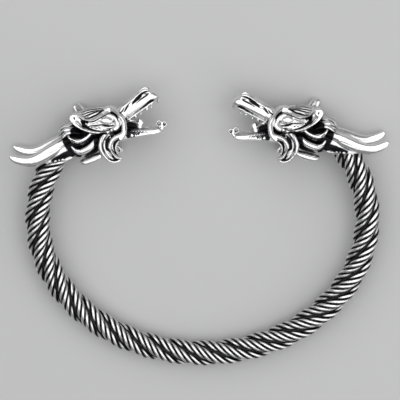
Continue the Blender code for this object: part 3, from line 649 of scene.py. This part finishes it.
TIP = math.radians(CAMERA_TIP)
SIGHT_BACK = Vector((0.0, math.sin(TIP), math.cos(TIP)))
SIGHT_UP = Vector((0.0, math.cos(TIP), -math.sin(TIP)))
SIGHT_RIGHT = SIGHT_UP.cross(SIGHT_BACK)
CAMERA_PLACE = Vector(CAMERA_TARGET) + SIGHT_BACK * CAMERA_DISTANCE

START_ANGLE = math.radians(180.0 - LEFT_END)
END_ANGLE = math.radians(360.0 + RIGHT_END)
ARC = END_ANGLE - START_ANGLE


def placed(name, data):
    """A new object, put into the scene."""
    item = bpy.data.objects.new(name, data)
    bpy.context.scene.collection.objects.link(item)
    return item


def set_shine(mesh, shine):
    """Keeps with each vertex how far it shines, clear of patina and painted shade, for the metals to read."""
    layer = mesh.attributes.new("shine", "FLOAT", "POINT")
    layer.data.foreach_set("value", shine.astype(np.float32))


def unit(vectors):
    """The vectors at length 1."""
    return vectors / np.linalg.norm(vectors, axis=1, keepdims=True)


# The band


def oval_point(angle):
    return Vector((RING_HALF_WIDTH * math.cos(angle), RING_HALF_HEIGHT * math.sin(angle), 0.0))


def oval_tangent(angle):
    return Vector((-RING_HALF_WIDTH * math.sin(angle), RING_HALF_HEIGHT * math.cos(angle), 0.0)).normalized()


def oval_lengths():
    """Lengths along the oval from the left seat to each of its steps."""
    points = [oval_point(START_ANGLE + ARC * k / OVAL_STEPS) for k in range(OVAL_STEPS + 1)]
    steps = [(after - before).length for before, after in zip(points, points[1:])]
    return np.concatenate(([0.0], np.cumsum(steps)))


LENGTHS = oval_lengths()
BAND_LENGTH = LENGTHS[-1]


def band_frames(distances):
    """The band's middle and its outward side at distances from the left seat, straight past a seat."""
    on_oval = np.clip(distances, 0.0, BAND_LENGTH)
    shares = np.interp(on_oval, LENGTHS, np.linspace(0.0, 1.0, OVAL_STEPS + 1))
    angles = START_ANGLE + ARC * shares
    zero = np.zeros_like(angles)
    middles = np.stack((RING_HALF_WIDTH * np.cos(angles), RING_HALF_HEIGHT * np.sin(angles), zero), axis=1)
    tangents = np.stack((-RING_HALF_WIDTH * np.sin(angles), RING_HALF_HEIGHT * np.cos(angles), zero), axis=1)
    tangents = unit(tangents)
    outwards = np.stack((tangents[:, 1], -tangents[:, 0], zero), axis=1)
    return middles + tangents * (distances - on_oval)[:, None], outwards


def strand_turn(index, distance):
    """How far a strand has gone around the band, from its outward side."""
    return 2 * math.pi * (index / STRAND_COUNT - (distance - LAY_START) / LAY_LENGTH)


def floor_distance(turn):
    """How far from its seat, along the band, a strand with this turn meets the socket's floor."""
    return math.tan(math.radians(SOCKET_LEAN)) * STRAND_CIRCLE * math.cos(turn) - SOCKET_DEPTH


def strand_span(index):
    """Where a strand starts and ends, a little over the floors of the sockets."""
    first = 0.0
    last = BAND_LENGTH
    for _ in range(END_ROUNDS):
        first = floor_distance(strand_turn(index, first)) + STRAND_END_SPARE
        last = BAND_LENGTH - floor_distance(strand_turn(index, last)) - STRAND_END_SPARE
    return first, last


def around(first, second, turns):
    """First turned towards second, by each of the turns."""
    return first * np.cos(turns)[:, None] + second * np.sin(turns)[:, None]


def tube(points, radius, sides):
    """Vertices and faces of a closed tube along points."""
    tangents = unit(np.gradient(points, axis=0))
    side = unit(np.cross(tangents, LIFT))
    rise = np.cross(side, tangents)
    turns = 2 * math.pi * np.arange(sides) / sides
    rings = (points[:, None] + radius * (side[:, None] * np.cos(turns)[None, :, None]
                                         + rise[:, None] * np.sin(turns)[None, :, None]))
    faces = []
    for k in range(len(points) - 1):
        for j in range(sides):
            nxt = (j + 1) % sides
            faces.append((k * sides + j, k * sides + nxt, (k + 1) * sides + nxt, (k + 1) * sides + j))
    faces.append(tuple(range(sides - 1, -1, -1)))
    faces.append(tuple(range((len(points) - 1) * sides, len(points) * sides)))
    return rings.reshape(-1, 3), faces


def band_piece(name, parts, material):
    """A piece of tubes, each given as vertices, faces and shine, turned as the ring lies."""
    verts = np.concatenate([part[0] for part in parts])
    shine = np.concatenate([part[2] for part in parts])
    faces = []
    offset = 0
    for part in parts:
        faces += [tuple(v + offset for v in face) for face in part[1]]
        offset += len(part[0])
    mesh = bpy.data.meshes.new(name)
    mesh.from_pydata(verts.tolist(), [], faces)
    set_shine(mesh, shine)
    mesh.shade_smooth()
    mesh.transform(RING)
    mesh.materials.append(material)
    piece = placed(name, mesh)
    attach(piece, "root")
    return piece


def make_core(material):
    """The core inside the cable, painted black as the shade between the strands, and the thin wires that fill
    the valleys between them, painted dark grey as wires in shade.
    """
    count = round(BAND_LENGTH * CORE_STEPS / LAY_LENGTH)
    distances = np.linspace(-CORE_SPARE, BAND_LENGTH + CORE_SPARE, count + 1)
    middles, outwards = band_frames(distances)
    verts, faces = tube(middles, CORE_RADIUS, CORE_SIDES)
    # the core has no shine, painted black as the shade between the strands
    parts = [(verts, faces, np.zeros(len(verts)))]
    for index in range(STRAND_COUNT):
        turns = strand_turn(index + 0.5, distances)
        path = middles + around(outwards, LIFT, turns) * FILLER_CIRCLE
        verts, faces = tube(path, FILLER_RADIUS, THIN_SIDES)
        # the fillers are painted dark grey as wires in shade
        parts.append((verts, faces, np.full(len(verts), FILLER_SHINE)))
    band_piece("cable_core", parts, material)


def share_between(values, low, high):
    """How far the values are from low to high, as shares within 0 and 1."""
    return np.clip((values - low) / (high - low), 0.0, 1.0)


def make_strand(index, material):
    """Wires laid round a core, darkened where they press on each other and towards the cable's middle, as
    patina and painted shade.
    """
    first, last = strand_span(index)
    count = round((last - first) * WIRE_STEPS / WIRE_PITCH)
    distances = np.linspace(first, last, count + 1)
    middles, outwards = band_frames(distances)
    radial = around(outwards, LIFT, strand_turn(index, distances))
    strand = middles + radial * STRAND_CIRCLE
    heading = unit(np.gradient(strand, axis=0))
    across = unit(np.cross(heading, radial))
    radial = np.cross(across, heading)
    parts = []
    for wire in range(WIRES_IN_STRAND):
        turns = 2 * math.pi * (wire / WIRES_IN_STRAND + distances / WIRE_PITCH)
        points = strand + around(radial, across, turns) * WIRE_CIRCLE
        verts, faces = tube(points, WIRE_RADIUS, WIRE_SIDES)
        owners = np.repeat(np.arange(len(distances)), WIRE_SIDES)
        from_strand = np.linalg.norm(verts - strand[owners], axis=1)
        from_band = np.linalg.norm(verts - middles[owners], axis=1)
        # a wire darkens towards its neighbours and the cable's middle: patina and painted shade
        shine = share_between(from_strand, *SHINE_STRAND) * share_between(from_band, *SHINE_BAND)
        parts.append((verts, faces, shine))
    # the strand's own core has no shine, painted black as the shade inside the strand
    verts, faces = tube(strand, STRAND_CORE_RADIUS, THIN_SIDES)
    parts.append((verts, faces, np.zeros(len(verts))))
    piece = band_piece(f"strand_{index + 1}_wires", parts, material)
    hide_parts(f"strand_{index + 1}")


# Shapes of the heads


def head_place(from_left):
    """The matrix from a head's frame to the ring's."""
    angle = START_ANGLE if from_left else END_ANGLE
    tangent = oval_tangent(angle)
    slope = math.atan2(tangent.y, tangent.x)
    if from_left:
        turn = Matrix.Rotation(slope + math.pi - math.radians(LEFT_NECK_ANGLE), 4, "Z")
    else:
        turn = Matrix.Rotation(slope - math.pi + math.radians(RIGHT_NECK_ANGLE), 4, "Z")
        turn = turn @ Matrix.Rotation(math.pi, 4, "Y")
    return Matrix.Translation(oval_point(angle)) @ turn


TO_HEAD = head_place(True).inverted()
EYE_IN_HEAD = TO_HEAD @ CAMERA_PLACE


def sheet_ray(x, y):
    """Direction, in the head's frame, from the camera through a place on the drawing of the left head."""
    step = CAMERA_WIDTH / SHEET_WIDTH
    aim = Vector(CAMERA_TARGET)
    aim += SIGHT_RIGHT * (x - SHEET_WIDTH / 2) * step + SIGHT_UP * (SHEET_WIDTH / 2 - y) * step
    return (TO_HEAD @ aim - EYE_IN_HEAD).normalized()


def sheet_point(x, y, out):
    """The point at a place on the drawing that lies this far out of the middle plane, in half widths."""
    ray = sheet_ray(x, y)
    return EYE_IN_HEAD + ray * ((out * HEAD_HALF_WIDTH - EYE_IN_HEAD.z) / ray.z)


def head_point(along, up, out):
    """The point at these shares of the head's length, height and half width."""
    return Vector((along * HEAD_LENGTH, up * HEAD_HEIGHT, out * HEAD_HALF_WIDTH))


def smooth_rows(rows, steps):
    """Rows read from a smooth curve through the table's rows, steps of them from each row to the next."""
    result = []
    for k in range(len(rows) - 1):
        before = rows[max(k - 1, 0)]
        first = rows[k]
        second = rows[k + 1]
        after = rows[min(k + 2, len(rows) - 1)]
        for step in range(steps):
            t = step / steps
            row = []
            for a, b, c, d in zip(before, first, second, after):
                row.append(0.5 * (2 * b + (c - a) * t + (2 * a - 5 * b + 4 * c - d) * t * t
                                  + (3 * b - a - 3 * c + d) * t * t * t))
            result.append(tuple(row))
    result.append(tuple(rows[-1]))
    return result


def skin_rings(rings):
    """A closed form through rings of points."""
    mesh = bmesh.new()
    loops = [[mesh.verts.new(point) for point in ring] for ring in rings]
    sides = len(rings[0])
    for before, after in zip(loops, loops[1:]):
        for k in range(sides):
            nxt = (k + 1) % sides
            mesh.faces.new((before[k], before[nxt], after[nxt], after[k]))
    mesh.faces.new(list(reversed(loops[0])))
    mesh.faces.new(loops[-1])
    bmesh.ops.recalc_face_normals(mesh, faces=mesh.faces)
    return mesh


def round_profile(sides):
    """Corners of a round section."""
    turns = [2 * math.pi * (k + 0.5) / sides for k in range(sides)]
    return [(math.cos(turn), math.sin(turn)) for turn in turns]


def whole_profile(half):
    """A section's smoothed half and its twin."""
    smooth = smooth_rows(half, CAP_PROFILE_STEPS)
    other = [(-side, rise) for side, rise in smooth[1:-1]]
    return list(smooth) + list(reversed(other))


def loft(rows, profile):
    """A form along the head's middle plane, its profile scaled and turned by the rows."""
    rings = []
    for along, up, travel, tall, wide in smooth_rows(rows, LOFT_STEPS):
        heading = math.radians(travel)
        rise = Vector((-math.sin(heading), math.cos(heading), 0.0)) * tall * NECK_RADIUS
        side = Vector((0.0, 0.0, wide * HEAD_HALF_WIDTH))
        middle = head_point(along, up, 0.0)
        rings.append([middle + rise * high + side * wide_share for wide_share, high in profile])
    return skin_rings(rings)


def sweep(rows, width, depth):
    """A bar whose path is given in the head's frame."""
    smooth = smooth_rows(rows, BAR_STEPS)
    middles = [head_point(*row[:3]) for row in smooth]
    return bar(middles, [(row[3] * width, row[4] * depth) for row in smooth], BAR_SIDES)


def drawn_bar(rows, sides=BAR_SIDES, steps=BAR_STEPS):
    """A bar whose path is given on the drawing."""
    smooth = smooth_rows(rows, steps)
    middles = [sheet_point(*row[:3]) for row in smooth]
    return bar(middles, [(row[3] * SHEET_UNIT, row[4] * SHEET_UNIT) for row in smooth], sides)


def bar(middles, sizes, sides):
    """A bar along a path, its sizes measured along the head's side and out of it."""
    rings = []
    for k, (middle, (wide, deep)) in enumerate(zip(middles, sizes)):
        tangent = (middles[min(k + 1, len(middles) - 1)] - middles[max(k - 1, 0)]).normalized()
        across = tangent.cross(UP).normalized()
        outward = across.cross(tangent)
        ring = []
        for side in range(sides):
            turn = 2 * math.pi * side / sides
            ring.append(middle + across * math.cos(turn) * wide / 2 + outward * math.sin(turn) * deep / 2)
        rings.append(ring)
    return skin_rings(rings)


def ball(centre, radii):
    mesh = bmesh.new()
    bmesh.ops.create_uvsphere(mesh, u_segments=BALL_SIDES, v_segments=BALL_RINGS, radius=1.0)
    bmesh.ops.scale(mesh, vec=radii, verts=mesh.verts)
    bmesh.ops.translate(mesh, vec=centre, verts=mesh.verts)
    return mesh


def drawn_ball(x, y, out, radius):
    size = radius * SHEET_UNIT
    return ball(sheet_point(x, y, out), (size, size, size))


def tooth(x, y, out, points_to, length, wide):
    """A blunt cone that stands on a place of the drawing."""
    mesh = bmesh.new()
    radius = wide / 2 * SHEET_UNIT
    bmesh.ops.create_cone(mesh, cap_ends=True, segments=TOOTH_SIDES, radius1=radius,
                          radius2=radius * TOOTH_TIP, depth=length * SHEET_UNIT)
    bmesh.ops.translate(mesh, vec=(0.0, 0.0, length / 2 * SHEET_UNIT), verts=mesh.verts)
    heading = math.radians(points_to)
    direction = Vector((math.cos(heading), math.sin(heading), 0.0))
    turn = direction.to_track_quat("Z", "Y").to_matrix().to_4x4()
    bmesh.ops.transform(mesh, matrix=Matrix.Translation(sheet_point(x, y, out)) @ turn, verts=mesh.verts)
    return mesh


def spiral(x, y, radius, first, last):
    """A bar rolled up in the head's middle plane."""
    rows = []
    for k in range(SPIRAL_STEPS + 1):
        turn = math.radians(first + (last - first) * k / SPIRAL_STEPS)
        reach = radius * (1.0 - SPIRAL_CLOSING * k / SPIRAL_STEPS)
        rows.append((x + reach * math.cos(turn), y - reach * math.sin(turn), 0.0, SPIRAL_WIDE, SPIRAL_DEEP))
    return drawn_bar(rows, SPIRAL_SIDES, 1)


def mirrored(mesh):
    """A form's twin on the head's other side."""
    twin = mesh.copy()
    bmesh.ops.scale(twin, vec=(1.0, 1.0, -1.0), verts=twin.verts)
    bmesh.ops.reverse_faces(twin, faces=twin.faces)
    return twin


def middle_forms():
    """The forms that lie across the head's middle plane."""
    forms = [
        loft(NECK_ROWS, round_profile(NECK_SIDES)),
        loft(CAP_ROWS, whole_profile(CAP_PROFILE)),
        loft(SNOUT_ROWS, round_profile(SNOUT_SIDES)),
        loft(JAW_ROWS, round_profile(JAW_SIDES)),
        drawn_bar(CREST_ROWS, CREST_SIDES),
        drawn_bar(TONGUE_ROWS),
        drawn_bar(THROAT_WEB_ROWS),
        drawn_bar(THROAT_CURL_ROWS),
        tooth(*FRONT_FANG),
    ]
    forms += [spiral(*row) for row in SPIRALS]
    return forms


def side_forms():
    """The forms of one side, which get twins on the other."""
    forms = [
        sweep(HORN_ROWS, HORN_WIDTH, HORN_DEPTH),
        sweep(EAR_ROWS, EAR_WIDTH, EAR_DEPTH),
        sweep(BROW_ROWS, BROW_WIDTH, BROW_DEPTH),
        sweep(CHEEK_ROWS, BROW_WIDTH, BROW_DEPTH),
        sweep(LID_ROWS, LID_WIDTH, LID_DEPTH),
        sweep(OUTER_CRESCENT_ROWS, CRESCENT_WIDTH, CRESCENT_DEPTH),
        sweep(INNER_CRESCENT_ROWS, CRESCENT_WIDTH, CRESCENT_DEPTH),
        sweep(UPPER_GILL_ROWS, GILL_WIDTH, GILL_DEPTH),
        sweep(MIDDLE_GILL_ROWS, GILL_WIDTH, GILL_DEPTH),
        sweep(NOSE_RIDGE_ROWS, RIDGE_WIDTH, RIDGE_DEPTH),
        ball(head_point(*EYE_PLACE), (EYE_LENGTH / 2, EYE_HEIGHT / 2, EYE_HEIGHT / 2)),
    ]
    drawn = (
        UPPER_LOCK_ROWS, LOWER_LOCK_ROWS, LOWER_GILL_ROWS, CHANNEL_ROWS, INNER_CHANNEL_ROWS, INNER_LINE_ROWS,
        SHELL_ROWS, LIP_ROWS, MOUTH_CORNER_ROWS, JAW_PLATE_ROWS, JAW_RIM_ROWS, NECK_LINE_ROWS,
    )
    forms += [drawn_bar(rows) for rows in drawn]
    forms += [tooth(*row) for row in TEETH]
    forms += [drawn_ball(*row) for row in KNOBS + BEADS]
    return forms


def joined(forms):
    """One mesh of all the forms, each still a form of its own."""
    total = bmesh.new()
    for form in forms:
        mesh = bpy.data.meshes.new("form")
        form.to_mesh(mesh)
        form.free()
        total.from_mesh(mesh)
        bpy.data.meshes.remove(mesh)
    mesh = bpy.data.meshes.new("forms")
    total.to_mesh(mesh)
    total.free()
    return mesh


def remeshed(mesh):
    """The forms fused into one skin and smoothed."""
    item = placed("forms", mesh)
    fuse = item.modifiers.new("fuse", "REMESH")
    fuse.mode = "VOXEL"
    fuse.voxel_size = VOXEL
    smooth = item.modifiers.new("smooth", "SMOOTH")
    smooth.factor = SMOOTH_SHARE
    smooth.iterations = SMOOTH_ROUNDS
    graph = bpy.context.evaluated_depsgraph_get()
    result = bpy.data.meshes.new_from_object(item.evaluated_get(graph))
    bpy.data.objects.remove(item)
    return result


def hemisphere(count):
    """Directions spread evenly over the half sphere about +Z, nearer the pole than the rim."""
    result = []
    for k in range(count):
        height = math.sqrt((k + 0.5) / count)
        turn = k * math.pi * (3 - math.sqrt(5))
        flat = math.sqrt(1 - height * height)
        result.append(Vector((flat * math.cos(turn), flat * math.sin(turn), height)))
    return result


def surface_tree(mesh):
    points = [vertex.co.copy() for vertex in mesh.vertices]
    return BVHTree.FromPolygons(points, [tuple(face.vertices) for face in mesh.polygons])


def open_share(mesh):
    """How much of what each vertex faces is free of metal nearby: 1 on a ridge, 0 deep in a groove."""
    tree = surface_tree(mesh)
    rays = hemisphere(OCCLUSION_RAYS)
    shares = []
    for vertex in mesh.vertices:
        normal = vertex.normal
        turn = normal.to_track_quat("Z", "Y").to_matrix()
        start = vertex.co + normal * (VOXEL / 2)
        free = 0
        for ray in rays:
            if tree.ray_cast(start, turn @ ray, OCCLUSION_REACH)[0] is None:
                free += 1
        shares.append(free / OCCLUSION_RAYS)
    return np.array(shares)


def sight_line(x, y):
    """Start and direction of a ray from the camera through a place on the drawing."""
    return EYE_IN_HEAD, sheet_ray(x, y)


def plumb_line(along, out):
    """Start and direction of a ray straight down on the head."""
    return head_point(along, ABOVE_HEAD, out), Vector((0.0, -1.0, 0.0))


def stroke_marks(mesh, strokes, line):
    """Marks laid close together along lines on the surface: place, width, depth and darkness.

    A row of four numbers has no depth, and a row of three has no darkness either.
    """
    tree = surface_tree(mesh)
    marks = []
    for stroke in strokes:
        for row in smooth_rows(stroke, MARK_STEPS):
            hit = tree.ray_cast(*line(row[0], row[1]))[0]
            if hit is None:
                continue
            wide = row[2] * SHEET_UNIT
            deep = row[3] * SHEET_UNIT if len(row) > 4 else 0.0
            dark = row[-1] if len(row) > 3 else 0.0
            marks.append((hit, wide, deep, dark))
            marks.append((Vector((hit.x, hit.y, -hit.z)), wide, deep, dark))
    return marks


def apply_marks(mesh, marks):
    """Cuts the marks into the mesh, and gives how black they leave each vertex, as patina and painted shade.
    """
    tree = KDTree(len(mesh.vertices))
    for vertex in mesh.vertices:
        tree.insert(vertex.co, vertex.index)
    tree.balance()
    depth = np.zeros(len(mesh.vertices))
    black = np.zeros(len(mesh.vertices))
    for place, wide, deep, dark in marks:
        reach = wide * CUT_EDGE
        for spot, index, distance in tree.find_range(place, reach):
            if abs(spot.z) > abs(place.z) + SHADE_RISE and not deep:
                continue
            fall = 1.0 if distance < wide else (reach - distance) / (reach - wide)
            depth[index] = max(depth[index], deep * fall * CUT_DEPTH)
            # a dark mark lays patina and painted shade; a mark without darkness lifts the black again
            if dark:
                black[index] = max(black[index], dark * fall)
            else:
                black[index] *= 1.0 - fall
    normals = [vertex.normal.copy() for vertex in mesh.vertices]
    for vertex, normal in zip(mesh.vertices, normals):
        vertex.co -= normal * depth[vertex.index]
    return black


def drop_crumbs(mesh):
    """Leaves only the largest connected part, without the crumbs that the remesh makes in tight corners."""
    form = bmesh.new()
    form.from_mesh(mesh)
    seen = set()
    parts = []
    for start in form.verts:
        if start in seen:
            continue
        seen.add(start)
        part = [start]
        for vertex in part:
            for edge in vertex.link_edges:
                other = edge.other_vert(vertex)
                if other not in seen:
                    seen.add(other)
                    part.append(other)
        parts.append(part)
    parts.sort(key=len)
    crumbs = [vertex for part in parts[:-1] for vertex in part]
    bmesh.ops.delete(form, geom=crumbs, context="VERTS")
    form.to_mesh(mesh)
    form.free()


def casting_mesh():
    """The skin of a head, in the head's frame."""
    middle = middle_forms()
    sides = side_forms()
    twins = [mirrored(form) for form in sides]
    mesh = remeshed(joined(middle + sides + twins))
    drop_crumbs(mesh)
    flat = SIDE_FLAT * HEAD_HALF_WIDTH
    for vertex in mesh.vertices:
        vertex.co.z = min(max(vertex.co.z, -flat), flat)
    marks = stroke_marks(mesh, TOP_CUTS, plumb_line)
    marks += stroke_marks(mesh, CUTS + PAINTED_SHADE + UNSHADED_LINES, sight_line)
    black = apply_marks(mesh, marks)
    # the shine falls where nearby metal hides a vertex and under the marks: patina and painted shade in the
    # hollows
    set_shine(mesh, open_share(mesh) * (1.0 - black))
    mesh.shade_smooth()
    return mesh


def make_head(name, casting, from_left, material):
    """A copy of the casting, set on one end of the band."""
    mesh = casting.copy()
    mesh.name = f"{name}_casting"
    mesh.transform(RING @ head_place(from_left))
    mesh.materials.clear()
    mesh.materials.append(material)
    piece = placed(f"{name}_casting", mesh)
    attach(piece, "root")
    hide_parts(name)


# Materials


def add_noise(tree, scale, detail):
    """Noise fixed to the object, its scale in waves to the metre."""
    place = tree.nodes.new("ShaderNodeTexCoord")
    noise = tree.nodes.new("ShaderNodeTexNoise")
    noise.inputs["Scale"].default_value = scale
    noise.inputs["Detail"].default_value = detail
    tree.links.new(place.outputs["Object"], noise.inputs["Vector"])
    return noise.outputs["Fac"]


def add_range(tree, value, low, high, result_low, result_high, smooth=False):
    """A node that turns low into result_low and high into result_high."""
    node = tree.nodes.new("ShaderNodeMapRange")
    node.interpolation_type = "SMOOTHSTEP" if smooth else "LINEAR"
    node.inputs["From Min"].default_value = low
    node.inputs["From Max"].default_value = high
    node.inputs["To Min"].default_value = result_low
    node.inputs["To Max"].default_value = result_high
    tree.links.new(value, node.inputs["Value"])
    return node.outputs["Result"]


def add_math(tree, operation, first, second):
    node = tree.nodes.new("ShaderNodeMath")
    node.operation = operation
    tree.links.new(first, node.inputs[0])
    tree.links.new(second, node.inputs[1])
    return node.outputs["Value"]


def add_mix(tree, share, first, second):
    """A node that mixes two colours, each given as a colour or as another node's output."""
    node = tree.nodes.new("ShaderNodeMix")
    node.data_type = "RGBA"
    tree.links.new(share, node.inputs["Factor"])
    for name, colour in (("A", first), ("B", second)):
        if isinstance(colour, tuple):
            node.inputs[name].default_value = (*colour, 1.0)
        else:
            tree.links.new(colour, node.inputs[name])
    return node.outputs["Result"]


def metal(name, ramp, polish):
    """Polished metal on the open places, dark patina and painted shade in the hollows, and ridges rubbed
    brightest of all.

    The shine attribute says how open each place is and how far it is clear of patina and painted shade. ramp
    is the shine where these end and where the metal is clean, and polish is how rough ridges, plain metal and
    the dark places are.
    """
    material = bpy.data.materials.new(name)
    material.use_nodes = True
    tree = material.node_tree
    shader = tree.nodes["Principled BSDF"]
    shader.inputs["Metallic"].default_value = 1.0
    shine = tree.nodes.new("ShaderNodeAttribute")
    shine.attribute_name = "shine"
    patches = add_noise(tree, PATCH_SCALE, PATCH_DETAIL)
    grain = add_noise(tree, GRAIN_SCALE, GRAIN_DETAIL)
    ragged = add_math(tree, "ADD", shine.outputs["Fac"], add_range(tree, grain, *GRAIN_TO_EDGE))
    level = add_range(tree, ragged, *ramp, 0.0, 1.0, smooth=True)
    ridge = add_range(tree, ragged, RIDGE_SHINE, 1.0, 0.0, 1.0)

    # patina and painted shade share these dark colours
    patina = add_mix(tree, add_range(tree, grain, *GRAIN_TO_PATINA_AND_SHADE), PATINA_AND_SHADE_BLACK, PATINA_AND_SHADE_GREY)
    clean_patches = add_range(tree, patches, *PATCHES_TO_CLEAN)
    clean = add_math(tree, "MULTIPLY", clean_patches, add_range(tree, grain, *GRAIN_TO_CLEAN))
    plain = add_mix(tree, clean, METAL_DULL, METAL_CLEAN)
    bare = add_mix(tree, ridge, plain, METAL_RUBBED)
    tree.links.new(add_mix(tree, level, patina, bare), shader.inputs["Base Color"])

    ridge_rough, plain_rough, patina_rough = polish
    rubbed = add_range(tree, ridge, 0.0, 1.0, plain_rough, ridge_rough)
    uneven = add_math(tree, "MULTIPLY", rubbed, add_range(tree, patches, *PATCHES_TO_ROUGHNESS))
    covered = add_range(tree, level, 0.0, 1.0, patina_rough, 0.0)
    tree.links.new(add_math(tree, "MAXIMUM", uneven, covered), shader.inputs["Roughness"])

    bump = tree.nodes.new("ShaderNodeBump")
    bump.inputs["Strength"].default_value = BUMP_STRENGTH
    bump.inputs["Distance"].default_value = BUMP_DEPTH
    tree.links.new(grain, bump.inputs["Height"])
    tree.links.new(bump.outputs["Normal"], shader.inputs["Normal"])
    return material


# Room


def area_light(name, place, size, power):
    """A square light that shines towards the origin."""
    data = bpy.data.lights.new(name, "AREA")
    data.size = size
    data.energy = power
    item = placed(name, data)
    item.location = place
    item.rotation_mode = "QUATERNION"
    item.rotation_quaternion = (-Vector(place)).to_track_quat("-Z", "Y")


def make_room(floor_level):
    """A pale floor under the ring, two soft lights and a pale surround."""
    sides = ((-1, -1), (1, -1), (1, 1), (-1, 1))
    corners = [(x * FLOOR_REACH, y * FLOOR_REACH, floor_level) for x, y in sides]
    mesh = bpy.data.meshes.new("floor")
    mesh.from_pydata(corners, [], [(0, 1, 2, 3)])
    material = bpy.data.materials.new("floor")
    material.use_nodes = True
    shader = material.node_tree.nodes["Principled BSDF"]
    shader.inputs["Base Color"].default_value = (FLOOR_GREY, FLOOR_GREY, FLOOR_GREY, 1.0)
    shader.inputs["Roughness"].default_value = FLOOR_ROUGHNESS
    mesh.materials.append(material)
    floor = placed("floor", mesh)
    floor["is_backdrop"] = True
    area_light("key", KEY_PLACE, KEY_SIZE, KEY_POWER)
    area_light("fill", FILL_PLACE, FILL_SIZE, FILL_POWER)
    world = bpy.data.worlds.new("room")
    world.use_nodes = True
    surround = world.node_tree.nodes["Background"]
    surround.inputs["Color"].default_value = (*WORLD_COLOUR, 1.0)
    surround.inputs["Strength"].default_value = WORLD_STRENGTH
    bpy.context.scene.world = world
    bpy.context.scene.view_settings.view_transform = "Standard"


def make_camera():
    """The camera, which keeps its place to the ring as the ring is turned to lie."""
    turn = Matrix((SIGHT_RIGHT, SIGHT_UP, SIGHT_BACK)).transposed().to_4x4()
    data = bpy.data.cameras.new("camera")
    data.lens = data.sensor_width * CAMERA_DISTANCE / CAMERA_WIDTH
    camera = placed("camera", data)
    camera.matrix_world = RING @ Matrix.Translation(CAMERA_PLACE) @ turn
    bpy.context.scene.camera = camera


wire_metal = metal("bright_wire", *WIRE_FINISH)
casting_metal = metal("polished_casting", *CASTING_FINISH)
for index in range(STRAND_COUNT):
    make_strand(index, wire_metal)
make_core(wire_metal)
casting = casting_mesh()
make_head("head_left", casting, True, casting_metal)
make_head("head_right", casting, False, casting_metal)
make_room(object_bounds()[0].z)
make_camera()
